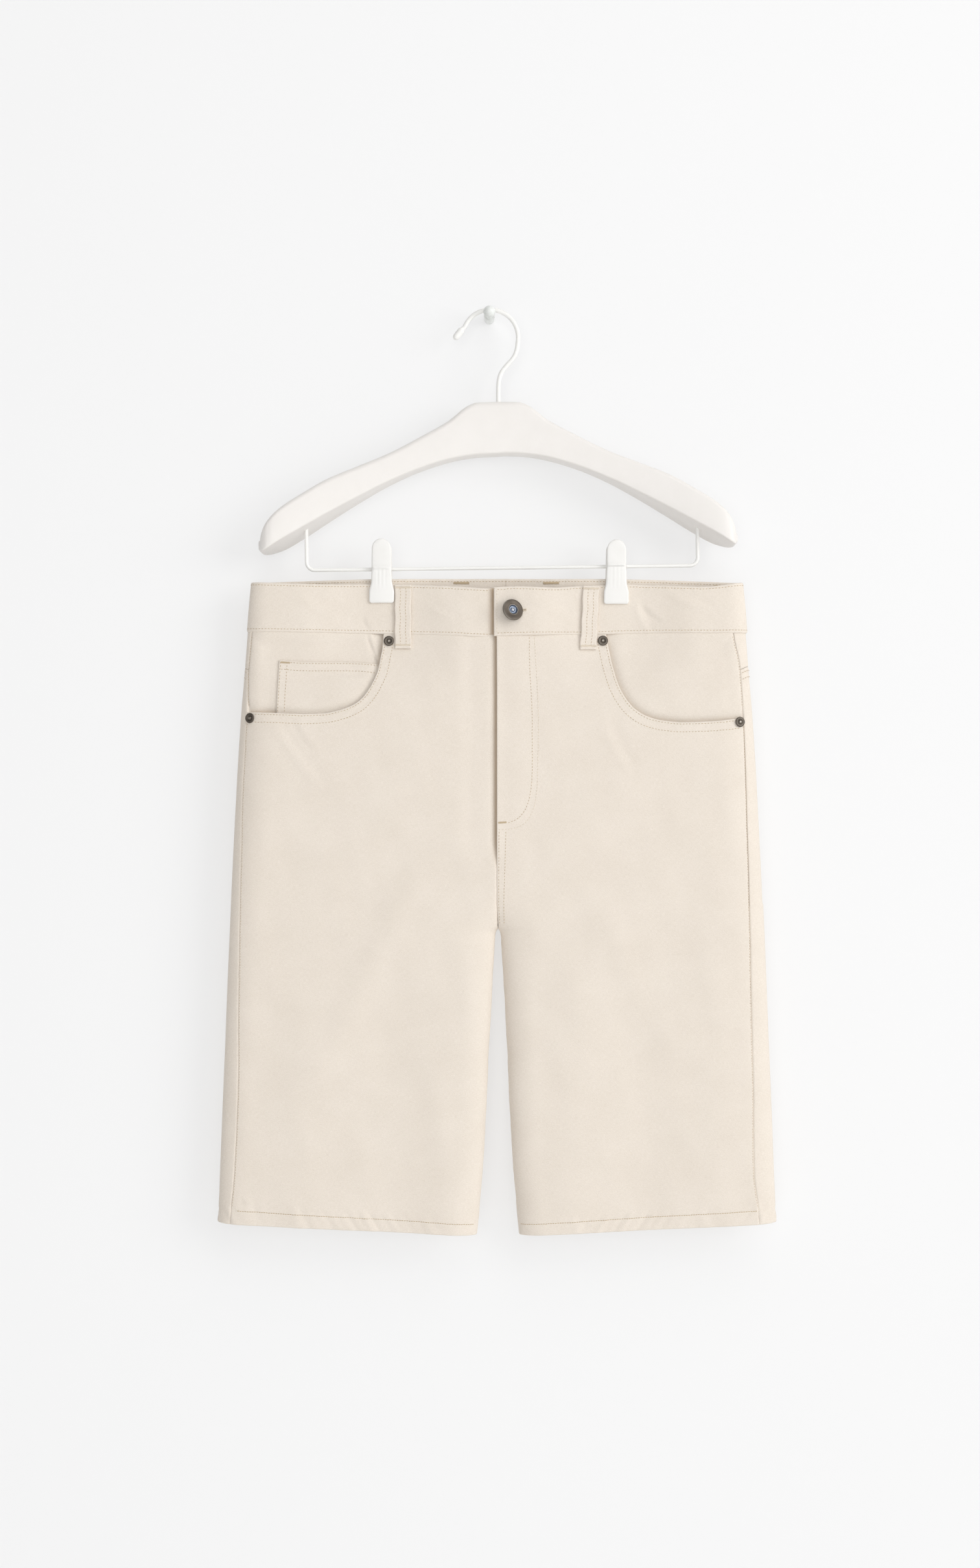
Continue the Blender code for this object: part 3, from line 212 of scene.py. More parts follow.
COIN_STEP = 1.9
COIN_ZONE = (-213.0, -199.0)  # the facing sinks between these, to make room for the coin pocket

# The left front laps over the right one at the fly
FLY_EDGE = -0.4  # across place of the left front's edge
FLY_RAISE = 0.9  # it stands this much higher than a panel
FLY_SINK = LAYER - FLY_RAISE  # and the right one lies this much lower
FLY_LAP = 12.0  # the right one reaches this far under it
FLY_LAP_ENDS = (196.0, 214.0)  # that narrows to nothing between these drops
FLY_FLAT = 15.0  # the left one keeps its height up to here, and the right one sinks over this distance
FLY_FADE = 36.0  # both are back at a panel's height here
FLY_ENDS = (222.0, 252.0)  # below these drops they are one seam

LAP_SINK = 1.7  # cloth under a lapped edge lies this much lower
LAP_CURL = 0.45  # and the edge stands this much higher
LAP_SHADE = 4.6  # within this distance of it
FLY_SHADOW = 2.5  # and painted shadow makes the cloth beside it browner, within these distances
BAND_SHADOW = 3.3
MOUTH_SHADOW = 2.4
MOUTH_SHADE = {RIGHT: 0.42, LEFT: 0.26}  # share of that painted shadow's colour beside the pocket mouths

# The waistband's left end laps over its right end
BAND_OVER = -3.0  # across place of the left end
BAND_UNDER = 26.0  # and of the right end under it
UNDER_DROP = 0.6  # the right end hangs this much lower
UNDER_FADE = (-56.0, -6.0, 12.0)  # where that starts, is greatest and ends
BAND_RAISE = 1.5  # the left end stands this much higher
BAND_SINK = BAND_CLOTH + 0.3 - BAND_RAISE  # and the right end lies this much lower
BAND_FLAT = 29.0  # the left end keeps its height up to here
BAND_FADE = 62.0  # and is back at the band's own height here

YOKE_SEAM = Table(("share", "drop"), (  # from the side seam, 0, to the centre seam, 1
    (0.0, 75.0), (0.045, 72.0), (0.2, 73.0), (0.55, 84.0), (1.0, 97.0),
))
BACK_POCKET_SHARES = (0.26, 0.81)  # of the way from the side seam to the centre seam
BACK_POCKET_TOP = (112.0, 119.0)  # drop of its top edge, outside and inside
BACK_POCKET_SIDES = (256.0, 262.0)  # drop of its two lower corners
BACK_POCKET_POINT = 15.0  # its point hangs this much lower than they do
BACK_POCKET_SIZE = (126.0, 145.0)
BACK_POCKET_STEP = 2.4

LOOP_WIDTH = 14.8
LOOP_LENGTH = 57.0
LOOP_ABOVE = 0.4  # a loop starts this far below the waistband's top edge
LOOP_STEP = 1.2
# Each belt loop: name, side, face, and its across place above and below
LOOPS = (
    ("front_right", RIGHT, FRONT, -83.0, -83.0),
    ("front_left", LEFT, FRONT, 83.0, 80.2),
    ("side_right", RIGHT, BACK, -187.0, -187.0),
    ("side_left", LEFT, BACK, 199.8, 199.8),
    ("back_right", RIGHT, BACK, -31.8, -31.8),
    ("back_left", LEFT, BACK, 48.2, 48.2),
)
LOOP_SLACK = Table(("share", "slack"), (  # it stands off the band between its two ends
    (0.0, 0.0), (0.08, 0.1), (0.3, 0.7), (0.5, 0.8), (0.72, 0.3), (1.0, 0.2),
))


# -------------------- the form of the cloth

def ease(value):
    """0 below 0, 1 above 1, smooth between."""
    value = np.clip(value, 0.0, 1.0)
    return value * value * (3 - 2 * value)


def quarter_round(value):
    """A quarter of a circle: steep at 0, level from 1 on."""
    rest = 1 - np.clip(value, 0.0, 1.0)
    return np.sqrt(1 - rest * rest)


def mix(start, end, part):
    return start + (end - start) * part


def lengths_along(points):
    """How far along its line each point is; lines run down the first axis."""
    steps = np.linalg.norm(np.diff(points, axis=0), axis=-1)
    return np.concatenate((np.zeros_like(steps[:1]), np.cumsum(steps, axis=0)))


def half_width(drop):
    return BODY.read("half_width", drop)


def inner_reach(drop, side):
    """From the outer side to a leg's inseam, or above the crotch to past the middle line."""
    above = -np.minimum(CROTCH - drop, VIRTUAL_GAP)
    half_gap = np.where(drop < CROTCH, above, LEGS.read("half_gap", drop))
    return half_width(drop) - side * CROTCH_ACROSS - half_gap


def soft_folds(face, across, drop):
    """Rise of the soft folds that hang down the legs and the seat."""
    rise = np.zeros(np.broadcast(across, drop).shape)
    for place, lean, top, bottom, width, height in FOLDS[face]:
        part = (drop - top) / (bottom - top)
        along = ease(part * 4) * ease((1.15 - part) * 4)
        rise = rise + height * along * np.exp(-((across - (place + lean * part)) / width) ** 2)
    return rise


def clip_pinch(across, drop):
    """1 where the clips press the cloth together, 0 where it hangs open."""
    start, end = PINCH_DROPS
    down = ease((end - drop) / (end - start))
    sideways = 0.0
    for middle in CLIP_ACROSS.values():
        away = np.abs(across - middle) - PINCH_FLAT
        sideways = np.maximum(sideways, ease(1 - away / PINCH_FADE))
    return down * sideways


def depth_at(side, face, drop, reach):
    """Distance of the cloth's outer face from the middle plane."""
    across = side * (half_width(drop) - reach)
    full = BODY.read("half_depth", drop)
    if face == BACK:
        start, deepest, end = SEAT_DROPS
        seat = ease((drop - start) / (deepest - start)) * ease((end - drop) / (end - deepest))
        full = full + SEAT_DEPTH * seat
    outer = reach / BODY.read("fold_reach", drop)
    inner = (inner_reach(drop, side) - reach) / INSEAM.read("fold_reach", drop)
    depth = full * quarter_round(outer) * quarter_round(inner)
    depth = depth + soft_folds(face, across, drop) * ease(outer) * ease(inner)
    return mix(depth, PINCHED_DEPTH, clip_pinch(across, drop))


NET_STEP = 2.0  # between the levels of a net
NET_DROPS = np.arange(-14.0, 586.0, NET_STEP)
NET_SHARES = np.linspace(0, 1, 701)
FOLD_STEPS = 16  # points of a level round each fold
FLAT_STEPS = 90  # and on the flat between them


class Net:
    """One face of one half of the shorts, cut level every few millimetres.

    On each level, reach is counted straight in from the outer side, and girth along the cloth.
    """

    def __init__(self, side, face):
        drops = NET_DROPS[:, None]
        fold = BODY.read("fold_reach", drops)
        end = inner_reach(drops, side)
        inner_fold = INSEAM.read("fold_reach", drops)
        turn = np.linspace(0, math.pi / 2, FOLD_STEPS + 1)[None, :]
        part = np.linspace(0, 1, FLAT_STEPS + 1)[None, 1:-1]
        outer = fold * (1 - np.cos(turn))
        flat = fold + (end - inner_fold - fold) * part
        inner = end - inner_fold * (1 - np.cos(turn[:, ::-1]))
        reach = np.hstack((outer, flat, inner))
        depth = depth_at(side, face, drops, reach)
        lengths = np.hypot(np.diff(reach, axis=1), np.diff(depth, axis=1))
        girth = np.hstack((np.zeros((len(drops), 1)), np.cumsum(lengths, axis=1)))
        self.length = girth[:, -1]
        self.end = reach[:, -1]
        self.reach = self.resampled(girth, reach)
        self.depth = self.resampled(girth, depth)
        self.girth = self.resampled(reach, girth)

    def resampled(self, places, values):
        """Values of each level at even shares of its places."""
        return np.array([np.interp(NET_SHARES * place[-1], place, value)
                         for place, value in zip(places, values)])

    def rows(self, drop):
        """Number of the level above a drop, and how far it is on to the next one."""
        place = (drop - NET_DROPS[0]) / NET_STEP
        row = np.clip(place.astype(int), 0, len(NET_DROPS) - 2)
        return row, place - row

    def along(self, values, row, share):
        """Resampled values of a level at a share of its length."""
        place = share * (len(NET_SHARES) - 1)
        column = np.clip(place.astype(int), 0, len(NET_SHARES) - 2)
        part = place - column
        return values[row, column] * (1 - part) + values[row, column + 1] * part

    def at_girth(self, girth, drop):
        """Reach and depth at a girth; past the end it comes back along the other face."""
        row, part = self.rows(drop)
        found = []
        for number in (row, row + 1):
            share = girth / self.length[number]
            past = share > 1
            share = np.clip(np.where(past, 2 - share, share), 0, 1)
            depth = self.along(self.depth, number, share)
            found.append((self.along(self.reach, number, share), np.where(past, -depth, depth)))
        return [above * (1 - part) + below * part for above, below in zip(*found)]

    def girth_at_reach(self, reach, drop):
        row, part = self.rows(drop)
        above, below = [self.along(self.girth, number, np.clip(reach / self.end[number], 0, 1))
                        for number in (row, row + 1)]
        return above * (1 - part) + below * part

    def last(self, drop):
        """Girth of a level's far end."""
        row, part = self.rows(drop)
        return self.length[row] * (1 - part) + self.length[row + 1] * part


NETS = {(side, face): Net(side, face) for side in (RIGHT, LEFT) for face in (FRONT, BACK)}


def arrays(*values):
    """Numbers and arrays as arrays of one shape."""
    return [np.array(value, dtype=float) for value in np.broadcast_arrays(*values)]


def skin(side, girth, drop):
    """Points of the form, which is the outer face of the panels."""
    girth, drop = arrays(girth, drop)
    points = np.empty(girth.shape + (3,))
    for face in (FRONT, BACK):
        here = girth >= 0 if face == FRONT else girth < 0
        reach, depth = NETS[side, face].at_girth(np.abs(girth[here]), drop[here])
        points[here, 0] = CENTRE_X + side * (half_width(drop[here]) - reach)
        points[here, 1] = MIDDLE_Y - face * depth
    points[..., 2] = WAIST_Z - drop
    return points


NORMAL_STEP = 0.8  # to either side of a place whose direction is sought


def unit(vectors):
    return vectors / np.maximum(np.linalg.norm(vectors, axis=-1, keepdims=True), 1e-9)


def outward(side, girth, drop):
    """Direction that the form faces."""
    round_it = skin(side, girth + NORMAL_STEP, drop) - skin(side, girth - NORMAL_STEP, drop)
    down = skin(side, girth, drop + NORMAL_STEP) - skin(side, girth, drop - NORMAL_STEP)
    return unit(side * np.cross(round_it, down))


def girth_at(side, face, drop, across):
    drop, across = arrays(drop, across)
    return face * NETS[side, face].girth_at_reach(half_width(drop) - side * across, drop)


def across_at(side, girth, drop):
    return skin(side, girth, drop)[..., 0] - CENTRE_X


def side_seam(side, drop):
    drop, = arrays(drop)
    return NETS[side, FRONT].girth_at_reach(BODY.read("seam_" + SIDE_NAMES[side], drop), drop)


def centre_edge(side, face, drop, lap=0.0):
    """Girth of a panel's edge at the centre seam, or below the crotch at the inseam."""
    drop, = arrays(drop)
    last = NETS[side, face].last(drop)
    across = CENTRE_LINES.read(face, drop) - side * lap
    at_centre = NETS[side, face].girth_at_reach(half_width(drop) - side * across, drop)
    return face * np.where(drop >= CROTCH, last, np.minimum(at_centre, last))


def hem_drop(across):
    """Drop of a leg's edge, which runs down from the side to the inseam."""
    outermost = half_width(HEM_OUTER_DROP)
    innermost = LEGS.read("half_gap", HEM_INNER_DROP)
    return mix(HEM_INNER_DROP, HEM_OUTER_DROP, (np.abs(across) - innermost) / (outermost - innermost))


def line_distance(across, drop, start_x, start_y, end_x, end_y):
    """Distance from a straight line, counted to its left, and how far along it a place is."""
    run, fall = end_x - start_x, end_y - start_y
    length = math.hypot(run, fall)
    along = ((across - start_x) * run + (drop - start_y) * fall) / length / length
    away = ((across - start_x) * fall - (drop - start_y) * run) / length
    return away, along


def creases(face, across, drop):
    """Rise of the sharp small creases, the same for every layer."""
    rise = np.zeros(np.shape(across))
    for *ends, width, height in CREASES[face]:
        away, along = line_distance(across, drop, *ends)
        reach = (away + 1.5 * np.sin(along * math.pi)) / width
        fade = ease(along * 3 + 0.3) * ease((1 - along) * 3 + 0.3)
        rise += height * fade * (np.exp(-reach ** 2) - 0.6 * np.exp(-(reach - 1.7) ** 2))
    return rise


def ripple(across, drop):
    """Unevenness of hand-hung cloth, a few tenths of a millimetre."""
    waves = ((0.021, 0.013, 0.4, 0.16), (-0.017, 0.031, 2.1, 0.13), (0.047, -0.022, 4.0, 0.08),
             (0.011, 0.061, 1.3, 0.07), (-0.083, 0.017, 0.2, 0.04), (0.029, 0.11, 5.2, 0.04))
    rise = 0.0
    for sideways, down, start, height in waves:
        rise = rise + height * np.sin(across * sideways * math.tau / 2 + drop * down * math.tau / 2 + start)
    return rise


def cloth_place(side, girth, drop, lift=0.0):
    """Points of a layer of cloth, and the directions it faces there."""
    girth, drop, lift = arrays(girth, drop, lift)
    points = skin(side, girth, drop)
    faces = outward(side, girth, drop)
    across = points[..., 0] - CENTRE_X
    rise = np.where(girth >= 0, creases(FRONT, across, drop), creases(BACK, across, drop))
    at_side = ease(np.abs(girth) / 16)
    rise = rise * at_side + ripple(across, drop * np.where(girth >= 0, 1, 1.3)) * at_side
    return points + faces * (lift + rise)[..., None], faces


def smooth_line(points, count=120):
    """Smooth line of (across, drop) through a few measured points."""
    lengths = lengths_along(np.array(points, dtype=float))
    line = Table(("length", "across", "drop"), np.column_stack((lengths, points)))
    places = np.linspace(0, lengths[-1], count)
    return np.column_stack((line.read("across", places), line.read("drop", places)))


def mouth_line(side, beyond=0.0):
    """Pocket mouth from the side seam to the waistband seam, and on in a straight line as far as asked."""
    found = smooth_line(MOUTHS[side], 160)
    if beyond:
        slope = found[-1] - found[-6]
        found = np.vstack((found, found[-1] + slope * beyond / abs(slope[1])))
    return found


def distance_to(line, across, drop):
    """Distance of places from a line of points."""
    nearest = np.full(np.shape(across), 1e9)
    for (start_x, start_y), (end_x, end_y) in zip(line[:-1], line[1:]):
        run, fall = end_x - start_x, end_y - start_y
        along = ((across - start_x) * run + (drop - start_y) * fall) / (run * run + fall * fall)
        along = np.clip(along, 0, 1)
        away = np.hypot(across - start_x - run * along, drop - start_y - fall * along)
        nearest = np.minimum(nearest, away)
    return nearest


def waist_seam(side, face, across):
    """Drop of the seam between the waistband and the panels."""
    return WAIST_EDGES[face].read("seam", across) + hidden_end_drop(side, face, across)


def fly_strength(drop):
    """1 where the left front laps over the right one, 0 where they are one seam."""
    start, end = FLY_ENDS
    return ease((end - drop) / (end - start))


def fly_lap(drop):
    start, end = FLY_LAP_ENDS
    return FLY_LAP * ease((end - drop) / (end - start))


def beside_edge(across, edge, reach):
    """1 where a lapped edge lies over the cloth, 0 a few millimetres away from it."""
    return np.exp(-(np.minimum(across - edge, 0) / reach) ** 2)


def curled(across, edge):
    """Lift of a lapping piece close to its edge."""
    return LAP_CURL * np.exp(-(np.maximum(across - edge, 0) / LAP_SHADE) ** 2)


def over_fly(across, drop):
    """Lift of the left front, which laps over."""
    flat = FLY_RAISE * ease((FLY_FADE - across) / (FLY_FADE - FLY_FLAT))
    return fly_strength(drop) * (flat + curled(across, FLY_EDGE))


def under_fly(across, drop):
    """Lift of the right front, which lies under it."""
    sunk = FLY_SINK * ease((across + FLY_FADE) / FLY_FLAT)
    return -fly_strength(drop) * (sunk + LAP_SINK * beside_edge(across, FLY_EDGE, LAP_SHADE))


def band_lift(side, face, across):
    """Lift of the waistband, raised at its left end and sunk at its right end."""
    fade = BAND_FADE - BAND_FLAT
    if side == LEFT:
        front = BAND_PROUD + BAND_RAISE * ease((BAND_FADE - across) / fade) + curled(across, BAND_OVER)
    else:
        sink = LAP_SINK * beside_edge(across, BAND_OVER, LAP_SHADE)
        front = BAND_PROUD - BAND_SINK * ease((across + fade) / fade) - sink
    return np.where(face == FRONT, front, BAND_PROUD)


def hidden_end_drop(side, face, across):
    """How much lower the right end of the waistband hangs where the left end lies over it."""
    start, lowest, end = UNDER_FADE
    hang = UNDER_DROP * ease((across - start) / (lowest - start)) * ease((end - across) / (end - lowest))
    return hang * (side == RIGHT) * (face == FRONT)


# -------------------- making and finishing pieces

def deselect_all():
    bpy.ops.object.select_all(action="DESELECT")


def finish_faces():
    """Turns the faces of the piece in edit mode outwards, and leaves edit mode."""
    bpy.ops.mesh.select_all(action="SELECT")
    bpy.ops.mesh.normals_make_consistent(inside=False)
    bpy.ops.object.mode_set(mode="OBJECT")


def finished(piece, name, material, replaces=()):
    """Names a piece, gives it its material and body, and names the CAD nodes it stands for."""
    piece.name = name
    piece.data.name = name
    piece.data.materials.clear()
    piece.data.materials.append(material)
    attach(piece, "root")
    if replaces:
        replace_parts(piece, *replaces)
    return piece


def grid_of(name, points, weave):
    """Grid added flat, then each of its points taken to its place. Weave places become its UV map."""
    rows, columns = points.shape[:2]
    deselect_all()
    bpy.ops.mesh.primitive_grid_add(x_subdivisions=columns - 1, y_subdivisions=rows - 1, size=1)
    sheet = bpy.context.object
    sheet.name = name
    mesh = sheet.data
    mesh.vertices.foreach_set("co", (points * MM).ravel())
    corners = np.empty(len(mesh.loops), dtype=np.int64)
    mesh.loops.foreach_get("vertex_index", corners)
    uv_map = mesh.uv_layers.active
    uv_map.data.foreach_set("uv", weave.reshape(-1, 2)[corners].ravel())
    mesh.update()
    return sheet


def border_distance(points, cut_distance=None, cut_columns=0):
    """Distance of each grid point from the grid's nearest border, at right angles to it.

    Where the first columns start on a slanting cut, cut_distance is how far each point is from it.
    """
    def from_first(grid):
        along = unit(np.gradient(grid[0], axis=0))
        inwards = unit(grid[1] - grid[0])
        slant = np.linalg.norm(np.cross(along, inwards), axis=-1)
        return lengths_along(grid) * slant[None, :]
    turned = points.transpose(1, 0, 2)
    top = from_first(points)
    if cut_distance is not None:
        top[:, :cut_columns] = np.inf
        top = np.minimum(top, cut_distance)
    sides = (top, from_first(points[::-1])[::-1], from_first(turned).T, from_first(turned[::-1])[::-1].T)
    return np.minimum.reduce(sides)


HALF_GIRTH = 240.0  # about the way from the side to the middle, where the weave starts
THIN_EDGE = 0.12  # least share of its thickness that a shell keeps at its edge


def cloth_piece(name, side, girth, drop, outer, thick, material, **cut):
    """Thin shell of cloth, with its outer face lifted by outer. The warp runs down it."""
    girth, drop, outer, thick = arrays(girth, drop, outer, thick)
    points, _ = cloth_place(side, girth, drop, outer - thick / 2)
    weave = np.stack((side * (HALF_GIRTH - girth), -drop), axis=-1) * MM
    return shell(name, points, thick, weave, material, **cut)


def shell(name, points, thick, weave, material, slot="twill", under=None, **cut):
    """Wall about a grid of middle points, its edges round as a fold is.

    Under is the share of painted shadow, a browner colour, for cloth beside an edge that laps over it.
    """
    sheet = grid_of(name, points, weave)
    edge = border_distance(points, **cut) / np.maximum(thick / 2, 0.01)
    round_edge = np.sqrt(1 - (1 - np.clip(edge, 0, 1)) ** 2)
    most = float(thick.max())
    weights = np.clip(thick * np.maximum(round_edge, THIN_EDGE) / most, 0, 1).ravel()
    group = sheet.vertex_groups.new(name="thickness")
    for number, weight in enumerate(weights):
        group.add([number], weight, "REPLACE")
    # painted shadow beside a lapped edge, kept on each vertex for the material
    if under is not None:
        mark(sheet, "painted_lap_shadow", np.broadcast_to(under, points.shape[:2]).ravel())
    wall = sheet.modifiers.new("wall", "SOLIDIFY")
    wall.thickness = most * MM
    wall.offset = 0.0
    wall.vertex_group = group.name
    bpy.ops.object.modifier_apply(modifier=wall.name)
    bpy.ops.object.mode_set(mode="EDIT")
    finish_faces()
    sheet.vertex_groups.clear()
    bpy.ops.object.shade_smooth()
    return finished(sheet, name, material)


CLOSE_STEPS = (0.0, 0.25, 0.6, 1.1, 1.8, 2.8, 4.2)  # places beside an edge that shows


def steps_between(start, end, step, start_edge=True, end_edge=True):
    """Places from start to end about a step apart, closer at the edges that show."""
    length = end - start
    close = [place for place in CLOSE_STEPS if place < length / 3]
    first = close if start_edge else [0.0]
    last = [length - place for place in reversed(close)] if end_edge else [length]
    count = max(int(round((last[0] - first[-1]) / step)), 1)
    middle = np.linspace(first[-1], last[0], count + 1)[1:-1]
    return start + np.concatenate((first, middle, last))


def shares_of(length, step, start_edge=True, end_edge=True):
    """The same over a length, as shares of it from 0 to 1."""
    return steps_between(0, length, step, start_edge, end_edge) / length


def share_grid(size, step, start_edge=True, end_edge=True):
    """Shares of the way across and down a piece of about this size."""
    return np.meshgrid(*[shares_of(length, step, start_edge, end_edge) for length in size])


def places_at(side, edges, shares, level):
    """Girths and across places at shares of the way between a piece's two edges, all at one drop."""
    outer_edge, inner_edge = edges
    drops = np.full(shares.shape, level)
    girth = mix(outer_edge(drops), inner_edge(drops), shares)
    return girth, across_at(side, girth, drops)


# -------------------- panels

# A front panel's columns: at its hem, and at its top from the end of the pocket mouth on
FRONT_HEM_SHARES = (0.0, 0.03, 0.07, 0.12, 0.18, 0.27, 0.36, 0.44, 0.5, 0.545, 0.585, 0.62, 0.675, 0.74,
                    0.805, 0.875, 0.94, 0.98, 1.0)
FRONT_WAIST_SHARES = (0.61, 0.69, 0.78, 0.865, 0.935, 0.975, 1.0)
BAND_TUCK = 2.8  # panels reach this far up into the waistband
FRONT_WIDTH = 226.0  # about the width of a front panel, and of a back panel
BACK_WIDTH = 240.0
YOKE_LENGTH = 45.0
PANEL_STEP = 2.1
BACK_STEP = PANEL_STEP + 0.5
YOKE_STEP = 2.2
FRONT_SEAM_LEVEL = 44.0  # about the drop of the waistband's seam on the fronts and on the yokes
YOKE_SEAM_LEVEL = 41.0
CROTCH_BEGINS = CROTCH - 4  # the lap of the seat seam becomes the inseam's between here and the crotch
HEM_TURN = (0.8, 0.4)  # rows above the edge of the hem's turning, so that it shows as a step
LEAST_SPREAD = 0.0007  # of a panel's width between two columns on the steep part of the mouth


def panel_levels(top, step):
    """Levels from a panel's top, 0, to its hem, 1, with one at the crotch."""
    hem = HEM_INNER_DROP - HEM_DEPTH
    first, second = [hem - above for above in HEM_TURN]
    to_crotch = steps_between(top, CROTCH, step)[:-1]
    to_hem = steps_between(CROTCH, first, step, True, False)[:-1]
    over_hem = steps_between(first, HEM_INNER_DROP, step / 1.5, False, True)
    drops = np.concatenate((to_crotch, to_hem, [first, second], over_hem[1:]))
    return np.clip((np.unique(np.round(drops, 4)) - top) / (HEM_INNER_DROP - top), 0, 1)


def hem_thickness(drop, hem):
    """The hem is turned up, so it is thicker below its fold."""
    return mix(CLOTH, HEM_CLOTH, ease((drop - (hem - HEM_DEPTH)) / 1.2 + 0.5))


def hem_puckers(girth, drop, hem):
    """Sewing draws the hem into small slanting waves."""
    height = hem - drop
    strength = ease((20 - height) / 8) * ease(1 - (height - 13) / 14)
    waves = 0.3 * np.sin(girth * 0.62 + height * 0.42) + 0.24 * np.sin(girth * 0.27 + height * 0.2 + 1.0)
    waves = waves * (0.6 + 0.5 * np.sin(girth * 0.043 + 2.0))
    return strength * waves * ease(height / 3 + 0.4)


def seam_puckers(away, along):
    """Small waves beside a seam: away from it and along it, in millimetres."""
    waves = 0.6 * np.sin(along * 0.9) + 0.4 * np.sin(along * 0.37 + 0.7)
    return 0.13 * waves * np.exp(-(away / 6) ** 2)


NOT_TUCKED = 9.0  # a distance inside the seam line where a panel isn't lowered


def tucked(lift, inside):
    """Lift of a panel that goes under its neighbour, by the distance inside its seam line."""
    return lift - TUCK_SINK * ease((0.9 - inside) / 1.1)


def front_tops(side, shares, edges):
    """Share and drop of a front panel's top edge: the pocket mouth, then on up under the waistband."""
    numbers = np.interp(shares, FRONT_HEM_SHARES, np.arange(len(FRONT_HEM_SHARES)))
    corner = len(MOUTH_SHARES) - 1
    in_mouth = numbers <= corner
    line = mouth_line(side, BAND_TUCK)
    lengths = lengths_along(line)
    place = np.interp(numbers, np.arange(corner + 1), MOUTH_SHARES) * lengths[-1]
    across, drop = [np.interp(place, lengths, column) for column in line.T]
    outer, inner = [edge(drop) for edge in edges]
    share = np.clip((girth_at(side, FRONT, drop, across) - outer) / (inner - outer), 0, 1)
    closest = LEAST_SPREAD * np.arange(len(share))
    spare = (share - closest)[:int(np.sum(in_mouth))]
    spare = np.maximum.accumulate(np.maximum(np.minimum.accumulate(spare[::-1])[::-1], 0.0))
    share[:len(spare)] = spare + closest[:len(spare)]
    waist_shares = (share[in_mouth][-1],) + FRONT_WAIST_SHARES
    waist_share = np.interp(numbers, np.arange(corner, len(FRONT_HEM_SHARES)), waist_shares)
    _, waist_across = places_at(side, edges, waist_share, FRONT_SEAM_LEVEL)
    waist_drop = waist_seam(side, FRONT, waist_across) - BAND_TUCK
    return np.where(in_mouth, share, waist_share), np.where(in_mouth, drop, waist_drop)


def front_edges(side):
    """Girths of a front panel's two edges: its side seam, and its centre seam or fly and inseam."""
    def outer_edge(drop):
        return side_seam(side, drop)

    def inner_edge(drop):
        if side == LEFT:
            return centre_edge(side, FRONT, drop)
        lap = np.maximum(fly_lap(drop), TUCK * ease((CROTCH - drop) / 8))
        return centre_edge(side, FRONT, drop, lap)
    return outer_edge, inner_edge


def front_piece(side, material):
    edges = front_edges(side)
    outer_edge, inner_edge = edges
    corner = FRONT_HEM_SHARES[len(MOUTH_SHARES) - 1] * FRONT_WIDTH
    shares = np.concatenate((steps_between(0, corner, PANEL_STEP, True, False)[:-1],
                             steps_between(corner, FRONT_WIDTH, PANEL_STEP, False, True))) / FRONT_WIDTH
    top_share, top_drop = front_tops(side, shares, edges)
    hems = hem_drop(places_at(side, edges, shares, HEM_OUTER_DROP)[1])[None, :]
    levels = panel_levels(top_drop[-1], PANEL_STEP)[:, None]
    drop = mix(top_drop[None, :], hems, levels)
    share = mix(top_share[None, :], shares[None, :], levels ** 0.75)
    girth = mix(outer_edge(drop), inner_edge(drop), share)
    across = across_at(side, girth, drop)
    inside = centre_edge(side, FRONT, drop) - girth
    to_mouth = distance_to(mouth_line(side), across, drop)
    under = None
    if side == RIGHT:
        lift = under_fly(across, drop)
        lift = mix(tucked(lift, np.where(drop < CROTCH, inside, NOT_TUCKED)), lift, fly_strength(drop))
        # painted shadow on the right front, browner beside the left front's fly edge
        under = beside_edge(across, FLY_EDGE, FLY_SHADOW) * fly_strength(drop)
    else:
        lift = over_fly(across, drop) + seam_puckers(inside, drop * 0.8)
    lift = lift + hem_puckers(girth, drop, hems)
    lift = lift + seam_puckers(to_mouth - 4, across * 0.8 + drop)
    lift = lift + seam_puckers(girth - outer_edge(drop), drop) * ease(to_mouth / 8)
    in_mouth = int(np.sum(shares * FRONT_WIDTH < corner + 0.01))
    cut_line = np.column_stack((across[0], drop[0]))[:in_mouth]
    from_cut = distance_to(cut_line, across, drop)
    thick = hem_thickness(drop, hems)
    return cloth_piece(SIDE_NAMES[side] + "_front", side, girth, drop, lift, thick, material,
                       under=under, cut_distance=from_cut, cut_columns=in_mouth)


def facing_lift(side, across, drop, from_seam):
    """Facings lie one layer under the fronts, and come up to the seams that hold them."""
    start, end = COIN_ZONE
    extra = ease((across - start) / (end - start)) if side == RIGHT else 0.0
    line = mouth_line(side)
    to_mouth = distance_to(line, across, drop)
    hollow = MOUTH_HOLLOW * np.exp(-(to_mouth / LAP_SHADE) ** 2)
    hollow = hollow * ease((drop - 46) / 12) * ease(from_seam / 20)
    deep = -LAYER * (1 + extra) - hollow
    order = np.argsort(line[:, 0])
    mouth_drop = np.interp(across, line[order, 0], line[order, 1])
    open_part = ease((mouth_drop - drop) / 4) * ease(to_mouth / 14)
    under_band = 1 - ease((drop - waist_seam(side, FRONT, across)) / 16)
    beside_seam = 1 - ease(from_seam / 15)
    return mix(deep, -0.15, open_part * np.maximum(under_band, beside_seam))


